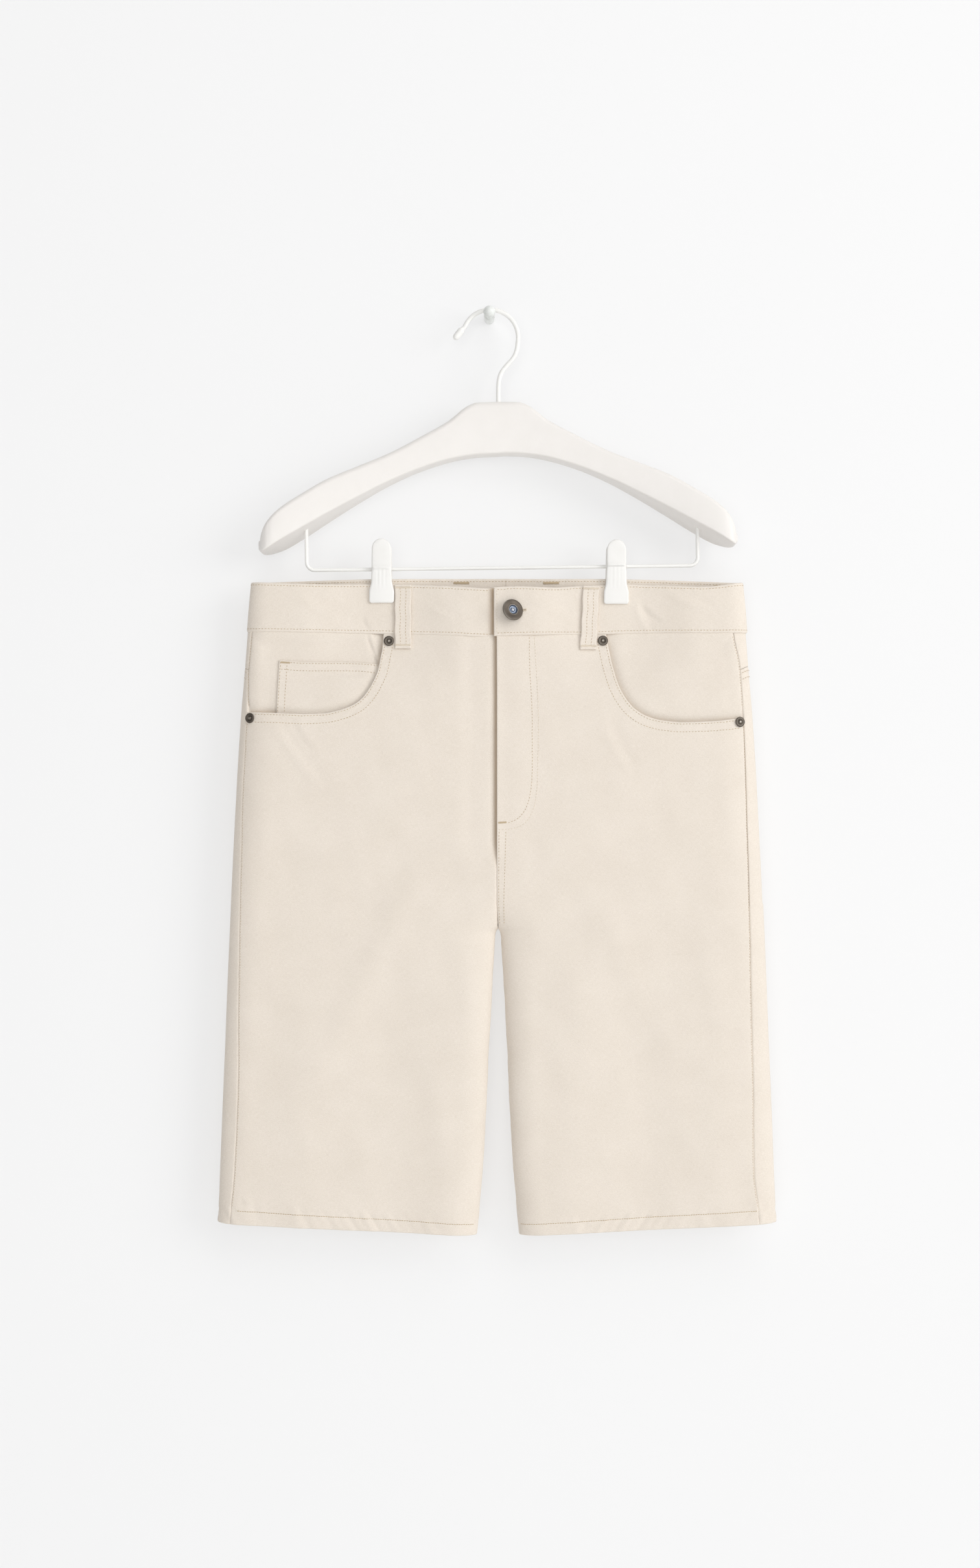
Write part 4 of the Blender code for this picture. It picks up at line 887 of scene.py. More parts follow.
def facing_piece(side, material):
    columns, levels = share_grid(FACING_SIZE, FACING_STEP, False, False)
    inner = side * FACING_INNER
    top = waist_seam(side, FRONT, mix(side * FACING_OUTER, inner, columns)) - BAND_TUCK
    drop = mix(top, FACING_BOTTOM, levels)
    seam = side_seam(side, drop)
    girth = mix(seam, girth_at(side, FRONT, drop, inner), columns)
    across = across_at(side, girth, drop)
    lift = facing_lift(side, across, drop, girth - seam)
    # painted shadow on the facing, browner beside the pocket mouth's edge
    under = MOUTH_SHADE[side] * np.exp(-(distance_to(mouth_line(side), across, drop) / MOUTH_SHADOW) ** 2)
    name = SIDE_NAMES[side] + "_hip_facing"
    return cloth_piece(name, side, girth, drop, lift, CLOTH, material, under=under)


def coin_lift(side, across, drop, from_seam):
    """The coin pocket lies on its facing, a little bulged."""
    inside = 1 + 0.25 * np.sin((across + 150) * 0.09) * np.sin((drop - 66) * 0.1)
    return facing_lift(side, across, drop, from_seam) + CLOTH + 0.3 * inside


def coin_top(across):
    """Share of the coin pocket's width, and drop of its slightly wavy top edge there."""
    share = (across - COIN_OUTER[0]) / (COIN_INNER - COIN_OUTER[0])
    return share, mix(*COIN_TOP, share) + 0.7 * np.sin(share * 7)


def coin_piece(material):
    columns, levels = share_grid(COIN_SIZE, COIN_STEP, True, False)
    across = mix(mix(*COIN_OUTER, levels), COIN_INNER, columns)
    drop = mix(coin_top(across)[1], COIN_BOTTOM, levels)
    girth = girth_at(RIGHT, FRONT, drop, across)
    lift = coin_lift(RIGHT, across, drop, girth - side_seam(RIGHT, drop))
    return cloth_piece("right_coin_pocket", RIGHT, girth, drop, lift, CLOTH, material)


def back_edges(side):
    """Girths of the side seam and of the centre seam or inseam, behind."""
    def outer_edge(drop):
        return side_seam(side, drop)

    def inner_edge(drop):
        return centre_edge(side, BACK, drop)
    return outer_edge, inner_edge


def back_grid(side, tops, levels, hems):
    """Girths and drops of a back piece; its columns run past both of its seam lines."""
    outer_edge, inner_edge = back_edges(side)
    columns = back_columns()
    drop = mix(tops[None, :], hems[None, :], levels[:, None])
    width = outer_edge(drop) - inner_edge(drop)
    lap = mix(0.0 if side == LEFT else TUCK, TUCK, ease((drop - CROTCH_BEGINS) / (CROTCH - CROTCH_BEGINS)))
    girth = outer_edge(drop) - width * np.clip(columns, 0, 1)
    girth = girth + TUCK * np.clip(-columns, 0, 1) - lap * np.clip(columns - 1, 0, 1)
    from_side = outer_edge(drop) - girth
    from_centre = girth - inner_edge(drop)
    return girth, drop, from_side, from_centre


def back_columns():
    """Shares of the way from the side seam, 0, to the centre seam, 1, with a tuck of 1 at each end."""
    return np.concatenate(([-1.0, -0.6, -0.3], shares_of(BACK_WIDTH, BACK_STEP), [1.3, 1.6, 2.0]))


def yoke_drop(columns):
    return YOKE_SEAM.read("drop", np.clip(columns, 0, 1))


def yoke_piece(side, material):
    columns = back_columns()
    girth, across = places_at(side, back_edges(side), np.clip(columns, 0, 1), YOKE_SEAM_LEVEL)
    tops = np.where(girth >= 0, waist_seam(side, FRONT, across), waist_seam(side, BACK, across)) - BAND_TUCK
    seam_line = yoke_drop(columns)
    levels = shares_of(YOKE_LENGTH, YOKE_STEP, False, True)
    girth, drop, from_side, from_centre = back_grid(side, tops, levels, seam_line + TUCK)
    lift = tucked(np.zeros(girth.shape), from_side)
    lift = np.minimum(lift, tucked(0.0, seam_line[None, :] - drop))
    if side == RIGHT:
        lift = np.minimum(lift, tucked(0.0, from_centre))
    lift = lift + seam_puckers(seam_line[None, :] - drop, girth)
    return cloth_piece(SIDE_NAMES[side] + "_yoke", side, girth, drop, lift, CLOTH, material)


def back_lift(side, girth, drop, from_side, from_centre, seam_line, hems):
    """The back goes under the front at the side, and one half goes under the other in the middle."""
    lift = tucked(np.zeros(girth.shape), from_side)
    hidden = from_centre if side == RIGHT else np.where(drop > CROTCH_BEGINS, from_centre, NOT_TUCKED)
    lift = np.minimum(lift, tucked(0.0, hidden))
    lift = lift + seam_puckers(drop - seam_line - 4, girth)
    lift = lift + seam_puckers(from_centre - 4, drop) * ease((CROTCH - drop) / 20)
    return lift + hem_puckers(girth, drop, hems)


def back_piece(side, material):
    columns = back_columns()
    hems = hem_drop(places_at(side, back_edges(side), np.clip(columns, 0, 1), HEM_OUTER_DROP)[1])
    tops = yoke_drop(columns)
    levels = panel_levels(tops[-1], BACK_STEP)
    girth, drop, from_side, from_centre = back_grid(side, tops, levels, hems)
    lift = back_lift(side, girth, drop, from_side, from_centre, tops[None, :], hems[None, :])
    thick = hem_thickness(drop, hems[None, :])
    return cloth_piece(SIDE_NAMES[side] + "_back", side, girth, drop, lift, thick, material)


def back_pocket_grid(side, columns, levels):
    """Places on a back pocket, from its outer to its inner edge and from its top to its point."""
    outer_edge, inner_edge = back_edges(side)
    start, end = BACK_POCKET_SHARES
    top = mix(*BACK_POCKET_TOP, columns)
    bottom = mix(*BACK_POCKET_SIDES, columns) + BACK_POCKET_POINT * (1 - np.abs(2 * columns - 1))
    drop = mix(top, bottom, levels)
    share = mix(start, end, columns)
    narrow = 1 - 0.06 * levels
    share = (start + end) / 2 + (share - (start + end) / 2) * narrow
    return mix(outer_edge(drop), inner_edge(drop), share), drop


def back_pocket_piece(side, material):
    columns, levels = share_grid(BACK_POCKET_SIZE, BACK_POCKET_STEP)
    girth, drop = back_pocket_grid(side, columns, levels)
    belly = 0.35 * np.sin(columns * math.pi) * np.sin(levels * math.pi)
    mouth = 0.25 * (1 - ease(levels * BACK_POCKET_SIZE[1] / 22)) * (1 + 0.6 * np.sin(columns * 9))
    lift = CLOTH + 0.12 + belly + mouth
    return cloth_piece(SIDE_NAMES[side] + "_back_pocket", side, girth, drop, lift, CLOTH, material)


# -------------------- waistband and belt loops

BAND_SIZE = (452.0, 43.0)  # half its girth and its height, about
BAND_STEPS = (1.9, 1.7)
BAND_MIDDLE = 20.0  # drop of its middle


def band_edges(girth, across):
    """Drops of the waistband's top edge and seam."""
    return [np.where(girth >= 0, WAIST_FRONT.read(edge, across), WAIST_BACK.read(edge, across))
            for edge in ("top", "seam")]


def band_half(side, shares, levels):
    """Places of one half of the waistband, from the front end, 0, round the side to the back, 1."""
    front_end = BAND_UNDER if side == RIGHT else BAND_OVER
    middle = np.full(np.shape(shares), BAND_MIDDLE)
    start = girth_at(side, FRONT, middle, front_end)
    end = girth_at(side, BACK, middle, CENTRE_LINES.read(BACK, 0))
    girth = mix(start, end, shares)
    across = across_at(side, girth, middle)
    front = girth >= 0
    hang = hidden_end_drop(side, FRONT, across) * front
    drop = mix(*[edge + hang for edge in band_edges(girth, across)], levels)
    lift = band_lift(side, np.where(front, FRONT, BACK), across)
    scale = girth_at(side, FRONT, drop, front_end) / start
    return np.where(front, girth * scale, girth), drop, lift


def band_waves(girth, drop, top, seam):
    """The two stitched edges of the band pull it into small waves between them."""
    height = (drop - top) / (seam - top)
    edges = np.exp(-((height - 0.06) / 0.09) ** 2) + 0.8 * np.exp(-((height - 0.93) / 0.09) ** 2)
    slant = girth + drop * 0.5
    puckers = 0.10 * np.sin(slant * 0.8) + 0.08 * np.sin(girth * 0.43 + 2.0)
    belly = 0.22 * np.sin(math.pi * np.clip(height, 0, 1)) * (1 + 0.8 * np.sin(girth * 0.071 + 1.0))
    return puckers * edges + belly


def waistband_piece(material):
    """One strip from its right end under the lap, round the back, to its left end over it."""
    levels = shares_of(BAND_SIZE[1], BAND_STEPS[1])[:, None]
    half = shares_of(BAND_SIZE[0], BAND_STEPS[0], True, False)[None, :]
    right = band_half(RIGHT, half, levels)
    left = band_half(LEFT, half[:, ::-1][:, 1:], levels)
    parts = []
    so_far = right[0][:, :1]
    for side, (girth, drop, lift) in ((RIGHT, right), (LEFT, left)):
        lift = lift + band_waves(girth, drop, drop[:1], drop[-1:])
        points, _ = cloth_place(side, girth, drop, lift - BAND_CLOTH / 2)
        along = so_far + side * (girth - girth[:, :1])
        so_far = along[:, -1:]
        # painted shadow on the band's right end, beside the left end lapped over it
        below = beside_edge(across_at(side, girth, drop), BAND_OVER, BAND_SHADOW)
        parts.append((points, np.stack((-drop, along), axis=-1) * MM, below * (girth >= 0) * (side == RIGHT)))
    points, weave, under = [np.concatenate(both, axis=1) for both in zip(*parts)]
    thick = np.full(points.shape[:2], BAND_CLOTH)
    return shell("waistband_cloth", points, thick, weave, material, under=under)


def loop_lift(share, from_middle, drop, seam):
    """Outer face of a belt loop: over the waistband, then down on the panel below it."""
    below = ease((drop - seam - 0.4) / 3.4)
    lift = mix(BAND_PROUD + 0.12, 0.0, below) + PLY_GAP + LOOP_CLOTH
    ends = np.exp(-((share - 0.045) / 0.05) ** 2) + np.exp(-((share - 0.95) / 0.04) ** 2)
    return lift + LOOP_SLACK.read("slack", share) - 0.35 * ends - 0.12 * from_middle ** 4


def loop_ends(face, top_across, bottom_across):
    """Drops of a belt loop's top, and of the waistband's seam under it."""
    edge = WAIST_EDGES[face]
    return edge.read("top", top_across) + LOOP_ABOVE, edge.read("seam", bottom_across)


def loop_across(top_across, bottom_across, share, drop, aside):
    """Across places along a belt loop, which isn't quite straight, at a distance from its middle."""
    return mix(top_across, bottom_across, share) + aside + 0.25 * np.sin(drop * 0.31 + top_across)


def loop_piece(name, side, face, top_across, bottom_across, material):
    top, seam = loop_ends(face, top_across, bottom_across)
    columns, share = share_grid((LOOP_WIDTH, LOOP_LENGTH), LOOP_STEP)
    from_middle = columns * 2 - 1
    drop = top + LOOP_LENGTH * share
    across = loop_across(top_across, bottom_across, share, drop, from_middle * LOOP_WIDTH / 2)
    girth = girth_at(side, face, drop, across)
    lift = loop_lift(share, from_middle, drop, seam)
    return cloth_piece("loop_" + name, side, girth, drop, lift, LOOP_CLOTH, material)


# -------------------- metal, hanger and peg

SEAM_GAP = 0.3  # between solid pieces that touch on the real thing
RIVETS = (
    ("inner_right", RIGHT, -95.6, 49.4),
    ("inner_left", LEFT, 93.4, 49.2),
    ("outer_right", RIGHT, -217.2, 117.6),
    ("outer_left", LEFT, 213.1, 121.0),
)
# Outlines of turned pieces are radii and heights
RIVET_OUTLINE = (
    (4.1, 0.0), (4.4, 0.2), (4.5, 0.5), (4.35, 0.85), (3.9, 1.1), (3.2, 1.2), (2.6, 1.1), (2.15, 0.85),
    (1.9, 0.72), (1.7, 0.8), (1.5, 1.2), (1.2, 1.5), (0.75, 1.64), (0.3, 1.68),
)
RIVET_PROUD = 0.35
BUTTON_ACROSS = 10.9
BUTTON_DROP = 24.3
BUTTON_TILT = (math.radians(11), math.radians(26))  # of its face, up and towards the left
BUTTON_SHANK = 5.1
BUTTON_OUTLINE = (
    (3.2, 0.0), (3.05, 1.2), (3.0, 2.4), (3.0, 5.0), (8.5, 5.1), (9.2, 5.35), (9.55, 5.8), (9.7, 6.4),
    (9.7, 6.9), (9.5, 7.45), (9.2, 7.8), (8.8, 7.98), (8.2, 8.08), (7.4, 8.06), (6.4, 7.96), (5.5, 7.86),
    (4.9, 7.84), (4.65, 7.95), (4.4, 8.02), (4.2, 7.9), (4.05, 7.55), (3.8, 6.9), (3.45, 6.35),
    (3.0, 6.1), (2.4, 6.02), (2.1, 6.1), (2.0, 6.6), (1.85, 7.0), (1.55, 7.35), (1.1, 7.6), (0.6, 7.72),
    (0.2, 7.75),
)
BUTTON_RECESS = 4.1  # radius inside which the other metal shows, tinted blue as a painted reflection

HANGER_X = 7.6
HANGER_TOP_Z = -79.0
HANGER_TILT = math.radians(-0.7)
HANGER_HALF = Table(("reach", "top", "front_bottom", "back_bottom", "front_y", "back_y"), (
    (0, 0.0, 46.0, 46.6, -30, -12),
    (18, 0.4, 46.6, 47.2, -30.2, -12),
    (27, 3.7, 47.5, 48.2, -30.6, -12),
    (43, 16.2, 50.4, 51.2, -31.6, -12),
    (68, 30.3, 58.0, 58.9, -33, -12.4),
    (96, 44.9, 69.6, 71.2, -35.4, -13),
    (125, 57.0, 84.2, 87.6, -38.6, -13.5),
    (150, 67.7, 97.8, 103.2, -42, -14),
    (172, 80.6, 110.4, 117.2, -45.4, -14),
    (190, 92.4, 120.8, 127.2, -48, -14),
    (197, 98.6, 125.2, 129.6, -48.6, -14.4),
    (202, 104.4, 128.2, 131.0, -48, -15.8),
    (205, 109.2, 129.8, 131.4, -46.6, -17.8),
    (207.4, 114.6, 130.6, 131.2, -44.2, -20.8),
    (208.9, 120.6, 129.6, 129.8, -39.5, -26),
))
HANGER_STRETCH = {RIGHT: 1.013, LEFT: 1.0}
HANGER_REACH = 208.9
HANGER_ROUND_TOP = 5.0
HANGER_ROUND_BOTTOM = 1.8
HANGER_TIP = 1.6  # how far its rounded end stands past its last section

HOOK_Y = -21.8
HOOK_WIRE = 2.0
HOOK_ARC_MIDDLE = (0.9, -21.1)
HOOK_ARC_RADIUS = 24.7
HOOK_ARC = (158, -8)  # degrees
HOOK_TIP = (  # x, z and radius
    (-31.3, -22.9, 0.4), (-31.1, -22.6, 1.4), (-30.6, -22.0, 2.3), (-30.0, -21.2, 2.8), (-28.9, -19.9, 3.1),
    (-26.4, -16.7, 3.1), (-24.7, -14.5, 2.9), (-24.1, -13.8, 2.2), (-23.6, -13.2, HOOK_WIRE),
)
HOOK_STEM = ((24.9, -29.6), (22.9, -36.6), (19.4, -41.9), (15.2, -46.4), (11.7, -50.9), (9.3, -56.0),
             (8.3, -62.0), (8.0, -68.0), (8.0, -76.0), (8.0, -88.0))

BAR_WIRE = 1.6
BAR_REACH = (-171.0, 175.2)
BAR_DEPTH = 148.2
BAR_END_DEPTH = 103.0
BAR_CORNER = 7.0

CLIP_HEIGHT = 56.3
CLIP_HALF_WIDTH = 11.0  # about, for its grid
CLIP_BOTTOM_Z = {RIGHT: -258.6, LEFT: -259.5}
CLIP_BAR_HEIGHT = {RIGHT: 30.2, LEFT: 33.5}
CLIP_SHAPE = Table(("height", "half_width", "inner", "outer"), (
    (0.0, 11.1, 3.2, 5.6),
    (3.0, 11.1, 3.2, 6.1),
    (10.0, 11.1, 3.2, 6.4),
    (14.0, 10.3, 3.2, 6.7),
    (18.5, 9.3, 3.2, 7.0),
    (24.0, 9.0, 4.4, 7.6),
    (31.0, 8.8, 5.4, 8.4),
    (44.0, 8.5, 7.4, 10.2),
    (50.0, 8.4, 8.4, 10.9),
    (CLIP_HEIGHT, 8.3, 9.4, 11.1),
))
CLIP_ROUND_TOP = 9.2
CLIP_ROUND_BOTTOM = 2.3
CLIP_CROWN = 0.7
CLIP_GROOVES = (-3.4, 0.0, 3.4)
CLIP_GROOVE_DEPTH = 0.22
CLIP_LEVER_DIP = 0.5  # hollow for the finger in the lever

PEG_OUTLINE = ((4.8, 0.0), (4.8, 15.2), (4.65, 16.2), (4.3, 17.0), (3.4, 17.8), (2.4, 18.4), (1.6, 19.0),
               (1.3, 19.6), (1.3, 24.6))
PEG_HEAD = 5.4
PEG_HEAD_Y = 29.9

MERGE_DISTANCE = 0.000002  # metres


def merge_doubles():
    """Merges the active shape's doubles and turns its faces outwards."""
    bpy.ops.object.mode_set(mode="EDIT")
    bpy.ops.mesh.select_all(action="SELECT")
    bpy.ops.mesh.remove_doubles(threshold=MERGE_DISTANCE)
    finish_faces()


def smooth_up_to(degrees):
    bpy.ops.object.shade_smooth_by_angle(angle=math.radians(degrees))


def turned(name, outline, sides):
    """Body turned about Z: a disc, extruded and widened or narrowed ring by ring."""
    radius, height = outline[0]
    deselect_all()
    bpy.ops.mesh.primitive_circle_add(vertices=sides, radius=radius * MM, fill_type="NGON")
    piece = bpy.context.object
    piece.name = name
    bpy.ops.object.mode_set(mode="EDIT")
    bpy.ops.mesh.select_all(action="SELECT")
    for next_radius, next_height in outline[1:]:
        rise, widening = (next_height - height) * MM, next_radius / radius
        bpy.ops.mesh.extrude_region_move(TRANSFORM_OT_translate={"value": (0, 0, rise)})
        bpy.ops.transform.resize(value=(widening, widening, 1))
        radius, height = next_radius, next_height
    bpy.ops.object.mode_set(mode="OBJECT")
    merge_doubles()
    smooth_up_to(50)
    return piece


def mark(piece, label, values):
    """Keeps a value for each vertex, for the material to read."""
    attribute = piece.data.attributes.new(label, "FLOAT", "POINT")
    attribute.data.foreach_set("value", np.asarray(values, dtype=np.float32))


def standing_on(point, normal):
    """Place whose Z axis is a surface's normal, with its foot one gap off the surface."""
    point, normal = Vector(point), Vector(normal)
    turn = normal.to_track_quat("Z", "X").to_matrix().to_4x4()
    return Matrix.Translation((point + normal * SEAM_GAP) * MM) @ turn


def surface_place(side, across, drop, lift):
    """Place on a front panel for a piece that stands on it."""
    girth = girth_at(side, FRONT, np.array([drop]), np.array([across]))
    points, faces = cloth_place(side, girth, np.array([drop]), lift)
    return standing_on(points[0], faces[0])


def radii_and_heights(piece):
    """How far each vertex of a turned piece is from its axis and from its foot."""
    places = np.array([vertex.co / MM for vertex in piece.data.vertices])
    return np.hypot(places[:, 0], places[:, 1]), places[:, 2]


def copy_of(first):
    piece = first.copy()
    piece.data = first.data.copy()
    bpy.context.collection.objects.link(piece)
    return piece


def rivets(metal):
    """One rivet, shaped once and copied to its four places, each turned a little."""
    first = turned("rivet", RIVET_OUTLINE, 32)
    radii, _ = radii_and_heights(first)
    # bright marks on the proud ring and knob: partly wear, partly a painted highlight
    ring, knob = np.exp(-((radii - 3.3) / 0.5) ** 2), np.exp(-(radii / 0.8) ** 2)
    mark(first, "worn_and_highlight", np.maximum(ring * 0.12, knob * 0.8))
    mark(first, "recess", np.zeros(len(radii)))
    copies = [copy_of(first) for _ in RIVETS[1:]]
    for piece, (name, side, across, drop) in zip([first] + copies, RIVETS):
        turn = Matrix.Rotation(across * 0.7 + drop, 4, "Z")
        piece.data.transform(surface_place(side, across, drop, RIVET_PROUD) @ turn)
        finished(piece, "pocket_rivet_" + name, metal, ("rivet_" + name,))


def waist_button(metal):
    """The button hangs askew on its shank, which bends with it."""
    piece = turned("shank_button", BUTTON_OUTLINE, 64)
    radii, heights = radii_and_heights(piece)
    # bright marks on rim, lip and nipple: partly wear, partly a painted highlight; the recess metal gets a
    # painted blue reflection
    rim = np.exp(-((radii - 9.45) / 0.35) ** 2) * (heights > 6)
    lip = np.exp(-((radii - 4.4) / 0.22) ** 2) * (heights > 7.5)
    nipple = np.exp(-(radii / 1.9) ** 4) * (heights > 6.3)
    mark(piece, "worn_and_highlight", np.maximum(np.maximum(rim * 0.6, lip * 0.6), nipple * 0.4))
    mark(piece, "recess", (radii < BUTTON_RECESS) & (heights > BUTTON_SHANK + 0.5))
    place = surface_place(LEFT, BUTTON_ACROSS, BUTTON_DROP, float(band_lift(LEFT, FRONT, BUTTON_ACROSS)))
    up, leftwards = BUTTON_TILT
    tilt = (Matrix.Rotation(leftwards, 3, "Z") @ Matrix.Rotation(-up, 3, "X")).to_quaternion()
    own_tilt = place.to_quaternion().inverted() @ tilt @ place.to_quaternion()
    for vertex in piece.data.vertices:
        share = min(vertex.co.z / (BUTTON_SHANK * MM), 1.0)
        vertex.co.rotate(Quaternion().slerp(own_tilt, share))
    piece.data.transform(place)
    return finished(piece, "shank_button", metal, ("waist_button",))


def lofted(name, rings):
    """Closed body through rings of points in millimetres, its ends filled."""
    rings = np.concatenate((rings, rings[:, :1]), axis=1)
    along = lengths_along(rings.mean(axis=1))
    around = np.linspace(0, 1, rings.shape[1])
    weave = np.stack(np.broadcast_arrays(along[:, None] * MM, around[None, :] * 0.1), axis=-1)
    piece = grid_of(name, rings, weave)
    merge_doubles()
    bpy.ops.object.mode_set(mode="EDIT")
    bpy.ops.mesh.select_all(action="DESELECT")
    bpy.ops.mesh.select_non_manifold()
    bpy.ops.mesh.fill_holes(sides=0)
    finish_faces()
    return piece


def corner_arc(middle, radius, start, end, steps=7):
    """Points of an arc between two angles in degrees."""
    angles = np.radians(np.linspace(start, end, steps))
    return np.column_stack((middle[0] + radius * np.cos(angles), middle[1] + radius * np.sin(angles)))


def hanger_section(side, far):
    """Outline of the hanger at a reach from its middle: (y, z) points, round at its edges."""
    top, low, back_low = [-float(HANGER_HALF.read(name, far)) * HANGER_STRETCH[side]
                          for name in ("top", "front_bottom", "back_bottom")]
    front, back = [float(HANGER_HALF.read(name, far)) for name in ("front_y", "back_y")]
    most = (top - max(low, back_low)) * 0.3
    round_top, round_low = min(HANGER_ROUND_TOP, most), min(HANGER_ROUND_BOTTOM, most)
    arcs = (corner_arc((back - round_top, top - round_top), round_top, 0, 90),
            corner_arc((front + round_top, top - round_top), round_top, 90, 180),
            corner_arc((front + round_low, low + round_low), round_low, 180, 270, 5),
            corner_arc((back - round_low, back_low + round_low), round_low, 270, 360, 5))
    return np.vstack(arcs)


HANGER_PLACE = (Matrix.Translation(Vector((HANGER_X, 0, HANGER_TOP_Z)) * MM)
                @ Matrix.Rotation(HANGER_TILT, 4, "Y"))


def hanger_body(lacquer):
    """Both arms as one body, with round tips."""
    reaches = np.concatenate((np.linspace(0, 196, 50), np.linspace(198, HANGER_REACH, 14)))
    rings = []
    for side in (RIGHT, LEFT):
        arm = []
        for far in reaches:
            section = hanger_section(side, far)
            reach = side * far * HANGER_STRETCH[side]
            arm.append(np.column_stack((np.full(len(section), reach), section)))
        middle = arm[-1][:, 1:].mean(axis=0)
        for turn in np.radians((25, 45, 62, 76, 86)):
            shrunk = middle + (section - middle) * math.cos(turn)
            reach = side * (HANGER_REACH * HANGER_STRETCH[side] + HANGER_TIP * math.sin(turn))
            arm.append(np.column_stack((np.full(len(section), reach), shrunk)))
        rings = arm[::-1] if side == RIGHT else rings + arm[1:]
    piece = lofted("hanger_arms", np.array(rings))
    smooth_up_to(40)
    piece.data.transform(HANGER_PLACE)
    return finished(piece, "hanger_arms", lacquer, ("hanger_body",))


def wire_piece(name, route, radii):
    """Round wire along points in millimetres, with a radius at each."""
    deselect_all()
    bpy.ops.curve.primitive_nurbs_path_add()
    piece = bpy.context.object
    wire = piece.data
    wire.splines.clear()
    spline = wire.splines.new("POLY")
    spline.points.add(len(route) - 1)
    for point, place, radius in zip(spline.points, route, radii):
        point.co = (*(np.asarray(place) * MM), 1)
        point.radius = radius
    wire.dimensions = "3D"
    wire.bevel_depth = MM
    wire.bevel_resolution = 5
    wire.use_fill_caps = True
    bpy.ops.object.convert(target="MESH")
    merge_doubles()
    smooth_up_to(50)
    piece.name = name
    return piece


def hook(paint):
    """From its thick tip over the peg and down into the hanger."""
    wire = np.vstack((corner_arc(HOOK_ARC_MIDDLE, HOOK_ARC_RADIUS, *HOOK_ARC, 50), HOOK_STEM))
    rows = np.vstack((HOOK_TIP, np.column_stack((wire, np.full(len(wire), HOOK_WIRE)))))
    lengths = lengths_along(rows[:, :2])
    line = Table(("length", "x", "z", "radius"), np.column_stack((lengths, rows)))
    places = np.unique(np.concatenate((lengths, np.arange(0, lengths[-1], 1.5))))
    route = np.column_stack((line.read("x", places), np.full(places.shape, HOOK_Y), line.read("z", places)))
    piece = wire_piece("hook_wire", route, line.read("radius", places))
    return finished(piece, "hook_wire", paint, ("hanger_hook",))


def trouser_bar(paint):
    """Level wire whose two ends turn up into the hanger's back."""
    first, last = BAR_REACH
    points = [(first, -BAR_END_DEPTH)]
    for middle, start in ((first + BAR_CORNER, 180), (last - BAR_CORNER, 270)):
        points += corner_arc((middle, -BAR_DEPTH + BAR_CORNER), BAR_CORNER, start, start + 90, 12).tolist()
    points.append((last, -BAR_END_DEPTH))
    route = [(x, MIDDLE_Y, z) for x, z in points]
    piece = wire_piece("bar_wire", route, [BAR_WIRE] * len(route))
    piece.data.transform(HANGER_PLACE)
    return finished(piece, "bar_wire", paint, ("trouser_bar",))


def jaw(side, face, plastic):
    """One jaw of a clip: grip with round corners below, lever with a round end above."""
    heights = steps_between(0, CLIP_HEIGHT, 1.0)[:, None]
    share = (steps_between(-CLIP_HALF_WIDTH, CLIP_HALF_WIDTH, 0.9) / CLIP_HALF_WIDTH)[None, :]
    half = CLIP_SHAPE.read("half_width", heights)
    into_top = np.clip((heights - (CLIP_HEIGHT - CLIP_ROUND_TOP)) / CLIP_ROUND_TOP, 0, 1)
    half = np.maximum(half * np.sqrt(1 - into_top ** 2.2), 0.5)
    into_bottom = np.clip(1 - heights / CLIP_ROUND_BOTTOM, 0, 1)
    half = half - CLIP_ROUND_BOTTOM * (1 - np.sqrt(1 - into_bottom ** 2))
    x = half * share
    inner, outer = CLIP_SHAPE.read("inner", heights), CLIP_SHAPE.read("outer", heights)
    bar = CLIP_BAR_HEIGHT[side]
    seat = np.exp(-((heights - bar) / 2.4) ** 4)
    inner = mix(inner, BAR_WIRE + SEAM_GAP, seat)
    grooved = ease((bar + 4 - heights) / 6) * ease((heights - 12) / 5)
    grooves = sum(np.exp(-((x - place) / 0.7) ** 2) for place in CLIP_GROOVES)
    dip = CLIP_LEVER_DIP * np.exp(-((heights - 44) / 7) ** 2) * np.exp(-(share / 0.6) ** 2)
    outer = outer - CLIP_CROWN * share ** 2 - CLIP_GROOVE_DEPTH * grooves * grooved - dip
    depth = (outer + inner) / 2
    points = np.stack(np.broadcast_arrays(CENTRE_X + CLIP_ACROSS[side] + x, MIDDLE_Y - face * depth,
                                          CLIP_BOTTOM_Z[side] + heights), axis=-1)
    weave = points[..., (0, 2)] * MM
    name = SIDE_NAMES[side] + "_" + FACE_NAMES[face]
    thick = np.broadcast_to(outer - inner, points.shape[:2])
    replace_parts(shell(name + "_jaw", points, thick, weave, plastic, "white_plastic"), "clip_" + name)


def wall_peg(enamel):
    first = math.asin(PEG_OUTLINE[-1][0] / PEG_HEAD)
    angles = np.linspace(first, math.pi * 0.985, 20)[1:]
    head = [(PEG_HEAD * math.sin(angle), PEG_HEAD_Y - PEG_HEAD * math.cos(angle)) for angle in angles]
    piece = turned("ball_peg", list(PEG_OUTLINE) + head, 48)
    piece.data.transform(Matrix.Rotation(math.radians(90), 4, "X"))
    return finished(piece, "ball_peg", enamel, ("wall_peg",))


# -------------------- sewing

STITCH_PITCH = 2.7
BAND_PITCH = 2.8
SEAM_PITCH = 2.4
HEM_PITCH = 2.1
TACK_PITCH = 0.46
STITCH_FILL = 0.6  # share of the pitch that the thread shows for
STITCH_WIDTH = 0.62
STITCH_HEIGHT = 0.26
SEED = 7
EDGE_ROW = 1.7  # from a pocket mouth to the first row beside it
SECOND_ROW = 8.6  # and to the second
CENTRE_ROWS = (2.0, 8.0)  # beside the centre seam
YOKE_ROWS = (3.0, 8.6)  # below the yoke's seam
BAND_ROWS = (0.055, 0.94)  # shares of the waistband's height
TACK_HALF = 6.9  # half the width of a belt loop's bar tack
TACK_WIDTH = 0.68  # of each stitch of a bar tack
TACK_HEIGHT = 0.6

